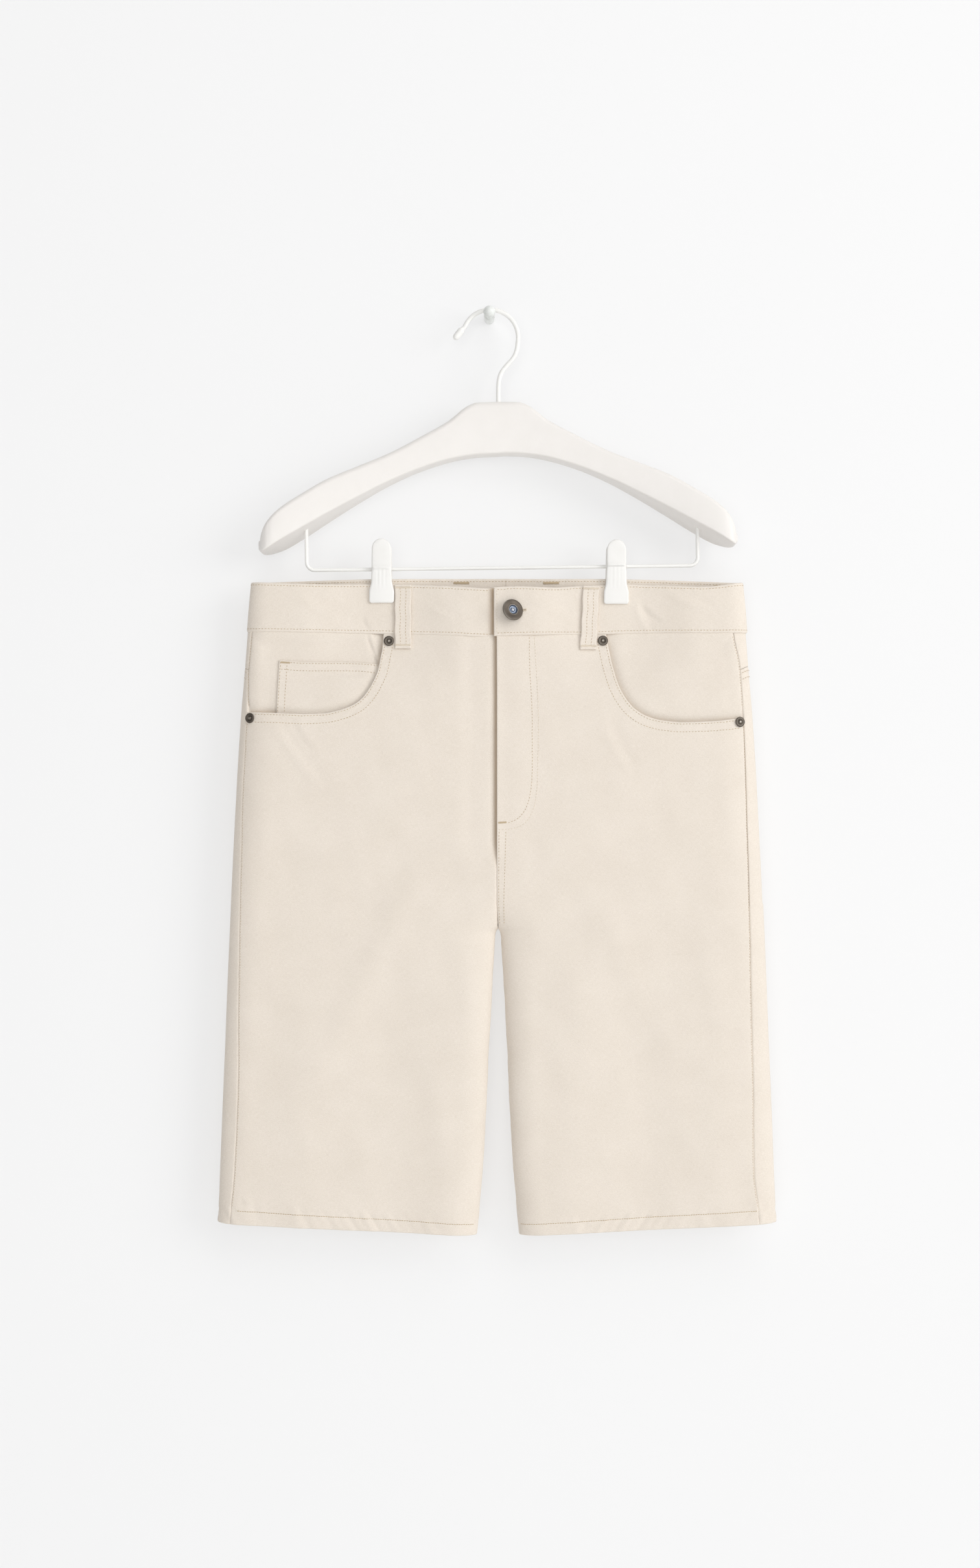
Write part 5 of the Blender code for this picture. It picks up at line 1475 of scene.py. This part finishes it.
# The fly's inner and outer row
FLY_ROWS = (
    ((28.2, 43.0), (28.5, 66.7), (30.8, 121.4), (30.8, 164.7), (29.6, 181.0), (27.0, 192.6), (22.4, 201.6),
     (16.0, 207.2), (8.6, 209.6), (1.0, 209.9)),
    ((32.5, 43.0), (34.0, 66.7), (36.2, 121.4), (35.4, 172.0), (34.0, 188.0), (31.0, 199.6), (25.6, 208.6),
     (18.0, 213.6), (9.1, 215.5), (0.9, 215.6)),
)


def beside(line, distance, side):
    """Line at a distance from a pocket mouth, on the panel's side of it."""
    along = unit(np.gradient(line, axis=0))
    return line + side * distance * np.column_stack((along[:, 1], -along[:, 0]))


def on_face(side, face, line, lift):
    """Places in space of an (across, drop) line, with the cloth's facing there."""
    girth = girth_at(side, face, line[:, 1], line[:, 0])
    return cloth_place(side, girth, line[:, 1], lift(line[:, 0], line[:, 1]))


class Seamstress:
    """Collects stitches and sews them as one piece, whose name decides how uneven each one is."""

    def __init__(self, name):
        self.name = name
        self.chance = np.random.default_rng(SEED + sum(map(ord, name)))
        self.frames = []

    def run(self, points, faces, pitch=STITCH_PITCH, width=STITCH_WIDTH, fill=STITCH_FILL,
            height=STITCH_HEIGHT):
        """Row of stitches along points in space."""
        def at(values, places):
            return np.column_stack([np.interp(places, lengths, column) for column in values.T])
        lengths = lengths_along(points)
        count = max(int(lengths[-1] / pitch), 1)
        step = lengths[-1] / count
        middles = (np.arange(count) + 0.5) * step
        along = unit(at(points, middles + step * 0.35) - at(points, middles - step * 0.35))
        facing = at(faces, middles)
        aside = unit(np.cross(facing, along))
        centre = at(points, middles) + aside * self.chance.normal(0, 0.05, count)[:, None]
        along = unit(along + aside * self.chance.normal(0, 0.04, count)[:, None])
        aside = unit(np.cross(facing, along))
        length = step * fill * self.chance.uniform(0.9, 1.06, count)
        self.keep(centre + facing * height * 0.18, along, aside, (length, width, height))

    def keep(self, centre, along, aside, sizes):
        """Keeps stitches until they are sewn: places, directions, and half of each size."""
        half = np.stack(np.broadcast_arrays(*sizes), axis=-1) / 2
        self.frames.append((centre, along, aside, unit(np.cross(along, aside)), half))

    def line(self, side, face, line, lift, **sizes):
        """Row along an (across, drop) line."""
        self.run(*on_face(side, face, line, lift), **sizes)

    def row(self, side, girth, drop, lift=0.0):
        """Row along girths and drops."""
        self.run(*cloth_place(side, girth, drop, lift))

    def tack(self, side, face, ends, lift, height=1.7, pitch=TACK_PITCH):
        """Bar tack: a dense bar of short stitches across the line between two places."""
        start, end = np.array(ends, dtype=float)
        run, fall = end - start
        count = int(math.hypot(run, fall) / pitch)
        share = (np.arange(count) + 0.5) / count
        points, faces = on_face(side, face, mix(start, end, share[:, None]), lift)
        bar = unit(np.array([run, 0.0, -fall]))
        along = unit(np.cross(faces, bar[None, :]))
        lean = np.where(np.arange(count) % 2, 0.05, -0.05)[:, None]
        along = unit(along + bar[None, :] * lean)
        aside = unit(np.cross(faces, along))
        length = height * self.chance.uniform(0.9, 1.1, count)
        self.keep(points + faces * 0.04, along, aside, (length, TACK_WIDTH, TACK_HEIGHT))

    def sew(self, material):
        """Models one stitch, a plump little body, and makes the piece of all of them."""
        deselect_all()
        bpy.ops.mesh.primitive_uv_sphere_add(segments=6, ring_count=4, radius=1, rotation=(0, math.pi / 2, 0))
        bpy.ops.object.transform_apply(location=False, rotation=True, scale=False)
        first = bpy.context.object
        shape = np.array([vertex.co for vertex in first.data.vertices])
        shape[:, 0] = np.sign(shape[:, 0]) * np.abs(shape[:, 0]) ** 0.75
        faces = [tuple(face.vertices) for face in first.data.polygons]
        bpy.data.objects.remove(first)
        centre, *directions, size = [np.concatenate(part) for part in zip(*self.frames)]
        points = centre[:, None, :]
        for axis, direction in enumerate(directions):
            points = points + shape[None, :, axis, None] * size[:, None, axis, None] * direction[:, None, :]
        count = len(shape)
        every_face = [tuple(corner + number * count for corner in face)
                      for number in range(len(centre)) for face in faces]
        mesh = bpy.data.meshes.new(self.name)
        mesh.from_pydata((points.reshape(-1, 3) * MM).tolist(), [], every_face)
        mesh.shade_smooth()
        piece = bpy.data.objects.new(self.name, mesh)
        bpy.context.collection.objects.link(piece)
        return finished(piece, self.name, material)


def sew_side_seam(needle, side, drops, lift):
    """Fine row on the front, just inside the side seam."""
    girth = side_seam(side, drops) + 1.0
    line = np.column_stack((across_at(side, girth, drops), drops))
    needle.line(side, FRONT, line, lift, pitch=SEAM_PITCH, width=0.5)


def sew_hem(side, face, inset, count, heights, thread):
    """Close row that holds a hem up, from near the side seam to the inseam, drawn into the hem's waves."""
    def lift(across, drop):
        return hem_puckers(girth_at(side, face, drop, across), drop, hem_drop(across))
    across = side * np.linspace(half_width(545) - inset, LEGS.read("half_gap", 560) + 3.5, count)
    line = np.column_stack((across, hem_drop(across) - np.linspace(*heights, count)))
    needle = Seamstress("stitching_%s_%s_hem" % (SIDE_NAMES[side], FACE_NAMES[face]))
    needle.line(side, face, line, lift, pitch=HEM_PITCH, fill=0.86)
    needle.sew(thread)


def sew_front(side, thread, pale, tan):
    needle = Seamstress("stitching_%s_front" % SIDE_NAMES[side])
    lift = over_fly if side == LEFT else under_fly
    mouth = mouth_line(side)
    for distance in (EDGE_ROW, SECOND_ROW):
        row = beside(mouth, distance, side)
        needle.line(side, FRONT, row[(np.abs(row[:, 0]) < 214) & (row[:, 1] > 45.5)], lift)
    sew_side_seam(needle, side, np.linspace(122, 548, 400), lift)
    sew_hem(side, FRONT, 17.5, 200, (12.6, 10.1), tan)
    if side == LEFT:
        inner_row, outer_row = [smooth_line(row) for row in FLY_ROWS]
        needle.line(LEFT, FRONT, inner_row, lift, width=0.6)
        needle.tack(LEFT, FRONT, ((1.0, 209.6), (8.2, 209.2)), lift)
        outer = Seamstress("stitching_fly_outer_row")
        outer.line(LEFT, FRONT, outer_row, lift, width=0.7)
        outer.sew(pale)
        drops = np.linspace(217, 299, 120)
        for near, far in ((2.0, 1.6), (8.0, 5.6)):
            across = CENTRE_LINES.read(FRONT, drops) + np.linspace(near, far, 120)
            needle.line(LEFT, FRONT, np.column_stack((across, drops)), lift, width=0.6)
    needle.sew(thread)


def on_facing(side, lifted=facing_lift):
    """Lift of stitches on a facing, or on the coin pocket that lies on it."""
    def lift(across, drop):
        from_seam = girth_at(side, FRONT, drop, across) - side_seam(side, drop)
        return lifted(side, across, drop, from_seam)
    return lift


def sew_pocket(thread):
    for side in (RIGHT, LEFT):
        needle = Seamstress("stitching_%s_facing" % SIDE_NAMES[side])
        sew_side_seam(needle, side, np.linspace(45, 107, 80), on_facing(side))
        needle.sew(thread)
    needle = Seamstress("stitching_coin_pocket")
    lift = on_facing(RIGHT, coin_lift)
    across = np.linspace(COIN_OUTER[0] + 1.2, -104.5, 160)
    share, top = coin_top(across)
    drops = np.linspace(COIN_TOP[0] + 1.2, 112.5, 80)
    edge = mix(*COIN_OUTER, (drops - COIN_TOP[0]) / (COIN_BOTTOM - COIN_TOP[0]))
    for line in ((across, top + 1.6), (across, top + mix(8.2, 8.0, share)),
                 (edge + 1.4, drops), (edge + 7.2, drops)):
        needle.line(RIGHT, FRONT, np.column_stack(line), lift)
    needle.tack(RIGHT, FRONT, ((-190.6, 68.2), (-182.4, 68.6)), lift)
    needle.sew(thread)


def sew_back(side, thread, tan):
    needle = Seamstress("stitching_%s_back" % SIDE_NAMES[side])
    outer_edge, inner_edge = back_edges(side)
    shares = np.linspace(0.004, 0.996, 300)
    for distance in YOKE_ROWS:
        drops = yoke_drop(shares) + distance
        needle.row(side, mix(outer_edge(drops), inner_edge(drops), shares), drops)
    sew_hem(side, BACK, 1.0, 240, (11.5, 11.5), tan)
    if side == LEFT:
        for distance in CENTRE_ROWS:
            for ends in ((39, 92), (108, 296)):
                drops = np.linspace(*ends, 160)
                needle.row(LEFT, centre_edge(LEFT, BACK, drops) + distance, drops)
    lift = CLOTH + 0.2
    rows = np.linspace(0, 1, 220)
    for inset in (0.014, 0.06):
        lowest = 0.995 - inset * 0.9
        for column in (inset, 1 - inset):
            needle.row(side, *back_pocket_grid(side, np.full(220, column), mix(0.01, lowest, rows)), lift)
        needle.row(side, *back_pocket_grid(side, mix(inset, 1 - inset, rows), np.full(220, lowest)), lift)
    for level in (0.015, 0.075):
        needle.row(side, *back_pocket_grid(side, mix(0.01, 0.99, rows), np.full(220, level)), lift + 0.15)
    needle.sew(thread)


def band_place(side, girth, drop, out):
    """A place on the waistband's outer face, or on its inner one."""
    across = across_at(side, girth, drop)
    lift = band_lift(side, np.where(girth >= 0, FRONT, BACK), across)
    lift = lift + band_waves(girth, drop, *band_edges(girth, across))
    return cloth_place(side, girth, drop, lift if out else lift - BAND_CLOTH)


def sew_waistband(thread, pale):
    """Rows along both edges, outside and inside, one at the left end, and the loops' tacks inside."""
    needle = Seamstress("stitching_waistband")
    for level in BAND_ROWS:
        for side, first in ((RIGHT, 0.012), (LEFT, 0.006)):
            girth, drop, _ = band_half(side, np.linspace(first, 1.0, 700), np.full(700, level))
            needle.run(*band_place(side, girth, drop, True), pitch=BAND_PITCH)
            points, faces = band_place(side, girth, drop, False)
            needle.run(points, -faces, pitch=BAND_PITCH)
    girth, drop, _ = band_half(LEFT, np.full(60, 0.0062), np.linspace(*BAND_ROWS, 60))
    end_row = Seamstress("stitching_band_end")
    end_row.run(*band_place(LEFT, girth, drop, True))
    end_row.sew(pale)

    def inside(across, _):
        return np.full(np.shape(across), BAND_PROUD - BAND_CLOTH - 0.25)
    for _, side, face, across, _ in LOOPS:
        if face == BACK:
            level = WAIST_BACK.read("top", across) + 3.6
            needle.tack(side, BACK, ((across - 7.0, level), (across + 7.0, level)), inside, 2.2)
    needle.sew(thread)


def sew_loops(thread, pale):
    needle = Seamstress("stitching_belt_loops")
    tacks = Seamstress("tacks_belt_loops")
    for _, side, face, *middles in LOOPS:
        top, seam = loop_ends(face, *middles)

        def lift(_, drop):
            return loop_lift((drop - top) / LOOP_LENGTH, 0.0, drop, seam)
        share = np.linspace(0.04, 0.96, 90)
        drop = top + LOOP_LENGTH * share
        for aside in (-2.5, 2.6):
            across = loop_across(*middles, share, drop, aside)
            needle.line(side, face, np.column_stack((across, drop)), lift, width=0.6)
        for share in (0.045, 0.945):
            drop = top + LOOP_LENGTH * share
            middle = mix(*middles, share)
            tacks.tack(side, face, ((middle - TACK_HALF, drop), (middle + TACK_HALF, drop)), lift, 1.8)
    needle.sew(thread)
    tacks.sew(pale)


BUTTONHOLE = (5.5, 25.4, 23.4, 22.3)  # across and drop of both ends


def sew_buttonhole(thread, dark):
    """Close stitches round a slit that starts under the button and ends in its sight."""
    start, end, start_drop, end_drop = BUTTONHOLE

    def lift(across, drop):
        top, seam = WAIST_FRONT.read("top", across), WAIST_FRONT.read("seam", across)
        girth = girth_at(LEFT, FRONT, drop, across)
        return band_lift(LEFT, FRONT, across) + band_waves(girth, drop, top, seam)
    needle = Seamstress("buttonhole_edging")
    for aside in (-0.8, 0.8):
        needle.tack(LEFT, FRONT, ((start, start_drop + aside), (end, end_drop + aside)), lift, 1.2, 0.42)
    needle.tack(LEFT, FRONT, ((end + 0.2, end_drop - 1.2), (end + 0.2, end_drop + 1.2)), lift, 1.0, 0.42)
    needle.sew(thread)
    # the slit is a row of dark stitches: painted shadow in the cut
    slit = Seamstress("buttonhole_slit")
    line = np.column_stack((np.linspace(start, end, 40), np.linspace(start_drop, end_drop, 40)))
    slit.line(LEFT, FRONT, line, lift, pitch=2.0, width=0.5, fill=1.25, height=0.3)
    slit.sew(dark)


# -------------------- materials

class Bench:
    """Lays out the nodes of a material or group: a socket given as a value is joined, a number is set."""

    def __init__(self, tree):
        self.tree = tree

    def add(self, kind, settings=None, **inputs):
        node = self.tree.nodes.new("ShaderNode" + kind)
        for name, value in (settings or {}).items():
            setattr(node, name, value)
        for label, value in inputs.items():
            self.feed(node.inputs[label.replace("_", " ")], value)
        return node

    def feed(self, socket, value):
        if isinstance(value, bpy.types.NodeSocket):
            self.tree.links.new(value, socket)
        else:
            socket.default_value = value

    def maths(self, operation, first, second=0.0, third=0.0):
        node = self.add("Math", {"operation": operation})
        for socket, value in zip(node.inputs, (first, second, third)):
            self.feed(socket, value)
        return node.outputs[0]

    def times(self, first, second):
        return self.maths("MULTIPLY", first, second)

    def scaled(self, value, factor, term):
        """Value times factor, plus term."""
        return self.maths("MULTIPLY_ADD", value, factor, term)

    def ramp(self, value, low, high):
        smooth = {"interpolation_type": "SMOOTHSTEP"}
        return self.add("MapRange", smooth, Value=value, From_Min=low, From_Max=high).outputs["Result"]

    def noise(self, place, scale, detail=2.0, roughness=0.5):
        node = self.add("TexNoise", Vector=place, Scale=scale, Detail=detail, Roughness=roughness)
        return node.outputs["Fac"]

    def stretched(self, place, scale, turn=0.0):
        node = self.add("Mapping", Vector=place, Scale=scale, Rotation=(0, 0, turn))
        return node.outputs["Vector"]

    def millimetres(self, place):
        return self.stretched(place, (1000, 1000, 1000))

    def blend(self, share, first, second):
        node = self.add("Mix", {"data_type": "RGBA"})
        colours = [socket for socket in node.inputs if socket.type == "RGBA"]
        self.feed(node.inputs["Factor"], share)
        for socket, value in zip(colours, (first, second)):
            self.feed(socket, value)
        return next(socket for socket in node.outputs if socket.type == "RGBA")


def node_group(name, inputs, outputs):
    group = bpy.data.node_groups.new(name, "ShaderNodeTree")
    for label, kind, value in inputs:
        socket = group.interface.new_socket(name=label, in_out="INPUT", socket_type="NodeSocket" + kind)
        socket.default_value = value
    for label, kind in outputs:
        group.interface.new_socket(name=label, in_out="OUTPUT", socket_type="NodeSocket" + kind)
    bench = Bench(group)
    return group, bench, group.nodes.new("NodeGroupInput").outputs, group.nodes.new("NodeGroupOutput").inputs


def linear(colour):
    """Screen values from 0 to 255 as the light they stand for."""
    def light(share):
        return share / 12.92 if share <= 0.04045 else ((share + 0.055) / 1.055) ** 2.4
    return (*[light(value / 255) for value in colour], 1.0)


def twill_group():
    """Steep twill lines over uneven yarn, with slubs, pale threads and specks; lengths are millimetres."""
    group, bench, given, gives = node_group(
        "twill weave",
        (("Place", "Vector", (0, 0, 0)), ("Line Pitch", "Float", 1.45), ("Slubs", "Float", 1.0)),
        (("Height", "Float"), ("Shade", "Float")))
    place = bench.millimetres(given["Place"])
    axes = bench.add("SeparateXYZ", Vector=place).outputs
    across_lines = bench.scaled(axes["Y"], -0.66, axes["X"])
    drift = bench.times(bench.noise(place, 0.13, 2.0), 3.4)
    turns = bench.scaled(bench.maths("DIVIDE", across_lines, given["Line Pitch"]), math.tau, drift)
    weft = bench.maths("SINE", bench.times(axes["Y"], math.tau / 0.82))
    lines = bench.maths("SINE", bench.scaled(weft, 0.55, turns))
    patches = bench.ramp(bench.noise(place, 0.055, 2.0), 0.34, 0.62)
    lines = bench.times(lines, bench.scaled(patches, 0.75, 0.25))
    yarn = bench.noise(bench.stretched(place, (0.42, 1.9, 1)), 1.0, 2.0, 0.6)
    warp = bench.noise(bench.stretched(place, (2.2, 0.3, 1)), 1.0, 2.0, 0.6)
    slub = bench.ramp(bench.noise(bench.stretched(place, (0.14, 1.15, 1)), 1.0, 1.5, 0.5), 0.58, 0.76)
    pale = bench.ramp(bench.noise(bench.stretched(place, (0.1, 0.9, 1), 0.05), 1.3, 1.5, 0.5), 0.6, 0.78)
    speck = bench.ramp(bench.noise(place, 0.9, 1.0, 0.4), 0.77, 0.83)
    cloudy = bench.noise(place, 0.03, 2.0, 0.5)
    slubby = bench.times(slub, given["Slubs"])
    height = bench.scaled(lines, 0.22, bench.times(yarn, 0.5))
    height = bench.scaled(warp, 0.34, height)
    height = bench.scaled(slubby, 0.2, height)
    bench.feed(gives["Height"], height)
    shade = bench.scaled(lines, 0.1, -0.11)
    parts = ((yarn, 0.74), (warp, 0.64), (cloudy, 0.26), (pale, 0.16), (slubby, -0.11), (speck, -0.6))
    for part, strength in parts:
        shade = bench.scaled(part, strength, shade)
    bench.feed(gives["Shade"], shade)
    return group


def new_material(name, **constants):
    """Material with a plain shader; what is the same all over is set on the shader's own sockets."""
    material = bpy.data.materials.new(name)
    material.use_nodes = True
    bench = Bench(material.node_tree)
    shader = material.node_tree.nodes["Principled BSDF"]
    for label, value in constants.items():
        shader.inputs[label.replace("_", " ")].default_value = value
    return material, bench, shader.inputs


def place_of(bench, kind):
    return bench.add("TexCoord").outputs[kind]


def bumped(bench, height, strength, depth):
    return bench.add("Bump", Height=height, Strength=strength, Distance=depth).outputs["Normal"]


LAP_SHADOW_COLOUR = (186, 164, 138)  # painted shadow: browner cloth beside and under the edges that lap over it


def cloth_material(name, twill, dark, light, pitch, slubs):
    """Dry cotton twill with the weave's shades and relief, browner with painted shadow beside edges that lap
    over it.
    """
    material, bench, shader = new_material(name, Roughness=0.92, Sheen_Weight=0.12, Sheen_Roughness=0.6,
                                           Specular_IOR_Level=0.25)
    weave = bench.add("Group", {"node_tree": twill}, Place=place_of(bench, "UV"), Line_Pitch=pitch,
                      Slubs=slubs)
    colour = bench.blend(weave.outputs["Shade"], linear(dark), linear(light))
    # painted shadow beside lapped edges, its share kept on each vertex
    under = bench.add("Attribute", {"attribute_name": "painted_lap_shadow"}).outputs["Fac"]
    bench.feed(shader["Base Color"], bench.blend(under, colour, linear(LAP_SHADOW_COLOUR)))
    bench.feed(shader["Normal"], bumped(bench, weave.outputs["Height"], 0.35, 0.00025))
    return material


def thread_material(name, colour, roughness):
    """Two-ply thread: its plies run slanting, and the dye is a little uneven."""
    material, bench, shader = new_material(name, Roughness=roughness, Sheen_Weight=0.1,
                                           Specular_IOR_Level=0.3)
    place = bench.millimetres(place_of(bench, "Object"))
    plies = bench.add("TexWave", {"bands_direction": "DIAGONAL"}, Vector=place, Scale=0.9, Distortion=1.2)
    uneven = bench.noise(place, 0.12, 2.0)
    shade = bench.scaled(plies.outputs["Fac"], 0.35, bench.times(uneven, 0.65))
    dark = [value * 0.84 for value in colour]
    light = [min(value * 1.09, 255) for value in colour]
    bench.feed(shader["Base Color"], bench.blend(shade, linear(dark), linear(light)))
    bench.feed(shader["Normal"], bumped(bench, plies.outputs["Fac"], 0.4, 0.0001))
    return material


def surface_group():
    """Fine unevenness of a painted or moulded surface, with a little dulling by handling."""
    group, bench, given, gives = node_group(
        "handled surface",
        (("Place", "Vector", (0, 0, 0)), ("Grain", "Float", 1.0), ("Streaks", "Float", 0.0)),
        (("Height", "Float"), ("Mottle", "Float"), ("Dulling", "Float")))
    place = bench.millimetres(given["Place"])
    finer = bench.add("VectorMath", {"operation": "SCALE"}, Vector=place, Scale=given["Grain"])
    fine = bench.noise(finer.outputs[0], 1.0, 3.0, 0.6)
    streaks = bench.noise(bench.stretched(place, (0.04, 0.8, 0.8)), 1.0, 3.0, 0.6)
    streaks = bench.times(streaks, given["Streaks"])
    bench.feed(gives["Height"], bench.scaled(fine, 0.6, streaks))
    bench.feed(gives["Mottle"], bench.scaled(bench.noise(place, 0.06, 3.0, 0.55), 0.7,
                                            bench.times(fine, 0.3)))
    bench.feed(gives["Dulling"], bench.ramp(bench.noise(place, 0.11, 3.0, 0.6), 0.35, 0.7))
    return group


def painted_material(name, surface, dark, light, rough, shiny_rough, grain, streaks, bump, **constants):
    """Paint, lacquer or moulded plastic."""
    material, bench, shader = new_material(name, **constants)
    made = bench.add("Group", {"node_tree": surface}, Place=place_of(bench, "Object"), Grain=grain,
                     Streaks=streaks)
    bench.feed(shader["Base Color"], bench.blend(made.outputs["Mottle"], linear(dark), linear(light)))
    roughness = bench.scaled(made.outputs["Dulling"], rough - shiny_rough, shiny_rough)
    bench.feed(shader["Roughness"], roughness)
    bench.feed(shader["Normal"], bumped(bench, made.outputs["Height"], bump, 0.0002))
    return material


def metal_material(surface):
    """Dark antique metal, its proud edges bright from wear and a painted highlight,
    with steel in its recesses, tinted blue as a painted reflection.
    """
    material, bench, shader = new_material("antique_metal", Metallic=1.0)
    made = bench.add("Group", {"node_tree": surface}, Place=place_of(bench, "Object"), Grain=3.2, Streaks=0.0)
    recess = bench.add("Attribute", {"attribute_name": "recess"}).outputs["Fac"]
    # bright marks on proud edges: partly wear, partly a painted highlight
    worn_and_highlight = bench.add("Attribute", {"attribute_name": "worn_and_highlight"}).outputs["Fac"]
    worn_and_highlight = bench.times(worn_and_highlight, bench.ramp(made.outputs["Mottle"], 0.25, 0.6))
    plain = bench.blend(made.outputs["Mottle"], linear((72, 66, 60)), linear((118, 109, 99)))
    # steel tinted blue: a painted reflection in the recess
    steel_and_blue_reflection = bench.blend(made.outputs["Mottle"], linear((100, 110, 126)), linear((156, 166, 182)))
    colour = bench.blend(recess, plain, steel_and_blue_reflection)
    bench.feed(shader["Base Color"], bench.blend(worn_and_highlight, colour, linear((212, 206, 196))))
    rough = bench.scaled(made.outputs["Dulling"], 0.16, 0.44)
    rough = bench.scaled(recess, -0.12, rough)
    bench.feed(shader["Roughness"], bench.scaled(worn_and_highlight, -0.1, rough))
    bench.feed(shader["Normal"], bumped(bench, made.outputs["Height"], 0.45, 0.00008))
    return material


def backdrop_material(name):
    """Seen from its front only: from behind it lets everything through."""
    material = bpy.data.materials.new(name)
    material.use_nodes = True
    tree = material.node_tree
    tree.nodes.clear()
    bench = Bench(tree)
    matt = bench.add("BsdfDiffuse", Color=(STAGE_PAINT, STAGE_PAINT, STAGE_PAINT, 1.0))
    glow = bench.add("Emission", Strength=STAGE_GLOW)
    pale = bench.add("AddShader")
    tree.links.new(matt.outputs[0], pale.inputs[0])
    tree.links.new(glow.outputs[0], pale.inputs[1])
    clear = bench.add("BsdfTransparent")
    behind = bench.add("NewGeometry").outputs["Backfacing"]
    both = bench.add("MixShader", Fac=behind)
    tree.links.new(pale.outputs[0], both.inputs[1])
    tree.links.new(clear.outputs[0], both.inputs[2])
    out = bench.add("OutputMaterial")
    tree.links.new(both.outputs[0], out.inputs["Surface"])
    return material


# -------------------- camera, light and stage

CAMERA_PLACE = (0.00058, -1.894, -0.4186)
CAMERA_LENS = 50.0
CAMERA_SENSOR = 37.28


def set_camera():
    deselect_all()
    bpy.ops.object.camera_add(location=CAMERA_PLACE, rotation=(math.radians(90), 0, 0))
    camera = bpy.context.object
    camera.data.lens = CAMERA_LENS
    camera.data.sensor_width = CAMERA_SENSOR
    bpy.context.scene.camera = camera


LIT_PLACE = (0, 0, -0.45)  # metres, as are the places of the lamps
LAMPS = (  # name, place, size and power
    ("key", (3.4, -2.6, 0.5), 3.0, 82.0),
    ("fill", (-0.3, -4.4, -0.25), 3.0, 55.0),
    ("top", (1.2, -2.4, 2.6), 3.4, 42.0),
    ("behind", (0.6, 2.4, 0.9), 1.8, 30.0),
)
DAYLIGHT = 0.28
STAGE = (("wall", (0, 0.0006, -0.45), 90), ("floor", (0, 0, -1.5), 0))  # name, place and turn
STAGE_SIZE = 7
STAGE_PAINT = 0.385
STAGE_GLOW = 0.515  # the stage glows a little itself, which keeps the shadows on it faint


def set_lights():
    for name, place, size, power in LAMPS:
        deselect_all()
        bpy.ops.object.light_add(type="AREA", location=place)
        lamp = bpy.context.object
        lamp.name = "lamp_" + name
        lamp.data.shape = "DISK"
        lamp.data.size = size
        lamp.data.energy = power
        aim = Vector(LIT_PLACE) - Vector(place)
        lamp.rotation_euler = aim.to_track_quat("-Z", "Y").to_euler()
    world = bpy.data.worlds.new("studio")
    bpy.context.scene.world = world
    world.use_nodes = True
    sky = world.node_tree.nodes["Background"]
    sky.inputs["Color"].default_value = (1.0, 1.0, 1.0, 1.0)
    sky.inputs["Strength"].default_value = DAYLIGHT


def set_stage():
    for name, place, turn in STAGE:
        deselect_all()
        bpy.ops.mesh.primitive_plane_add(size=STAGE_SIZE, location=place, rotation=(math.radians(turn), 0, 0))
        plane = bpy.context.object
        plane.name = name
        plane.data.materials.append(backdrop_material(name + "_paint"))


# -------------------- everything in its place


def dress():
    """Makes every piece in its place."""
    cloth = cloth_material("twill_cloth", twill_group(), (204, 192, 176), (233, 224, 213), 1.45, 1.0)
    for side in (RIGHT, LEFT):
        name = SIDE_NAMES[side]
        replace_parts(front_piece(side, cloth), "front_" + name)
        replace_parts(facing_piece(side, cloth), "hip_facing_" + name)
        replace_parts(yoke_piece(side, cloth), "yoke_" + name)
        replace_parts(back_piece(side, cloth), "back_" + name)
        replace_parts(back_pocket_piece(side, cloth), "back_pocket_" + name)
    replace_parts(coin_piece(cloth), "coin_pocket")
    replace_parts(waistband_piece(cloth), "waistband")
    for row in LOOPS:
        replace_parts(loop_piece(*row, cloth), "belt_loop_" + row[0])
    surface = surface_group()
    metal = metal_material(surface)
    rivets(metal)
    waist_button(metal)
    hanger_body(painted_material(
        "white_lacquer", surface, (229, 225, 220), (236, 232, 228), rough=0.55, shiny_rough=0.42, grain=0.5,
        streaks=0.35, bump=0.05, Coat_Weight=0.12, Coat_Roughness=0.4))
    paint = painted_material(
        "white_wire_paint", surface, (234, 233, 229), (243, 242, 239), rough=0.7, shiny_rough=0.55, grain=0.9,
        streaks=0.0, bump=0.1)
    hook(paint)
    trouser_bar(paint)
    plastic = painted_material(
        "white_moulded_plastic", surface, (229, 227, 223), (240, 239, 236), rough=0.5, shiny_rough=0.4,
        grain=1.6, streaks=0.0, bump=0.06, Specular_IOR_Level=0.4)
    for side in (RIGHT, LEFT):
        for face in (FRONT, BACK):
            jaw(side, face, plastic)
    wall_peg(painted_material(
        "frosted_enamel", surface, (190, 194, 188), (252, 253, 251), rough=0.4, shiny_rough=0.22, grain=1.6,
        streaks=0.0, bump=0.8, Coat_Weight=0.3, Coat_Roughness=0.2))
    thread = thread_material("tan_thread", (199, 180, 151), 0.8)
    pale = thread_material("pale_thread", (226, 214, 196), 0.8)
    tan = thread_material("hem_thread", (192, 172, 138), 0.8)
    for side in (RIGHT, LEFT):
        sew_front(side, thread, pale, tan)
        sew_back(side, thread, tan)
    sew_pocket(thread)
    sew_waistband(thread, pale)
    sew_loops(thread, pale)
    sew_buttonhole(pale, thread_material("shadowed_slit", (120, 98, 72), 0.9))


dress()
set_camera()
set_lights()
set_stage()
view_settings = bpy.context.scene.view_settings
view_settings.view_transform = "Standard"
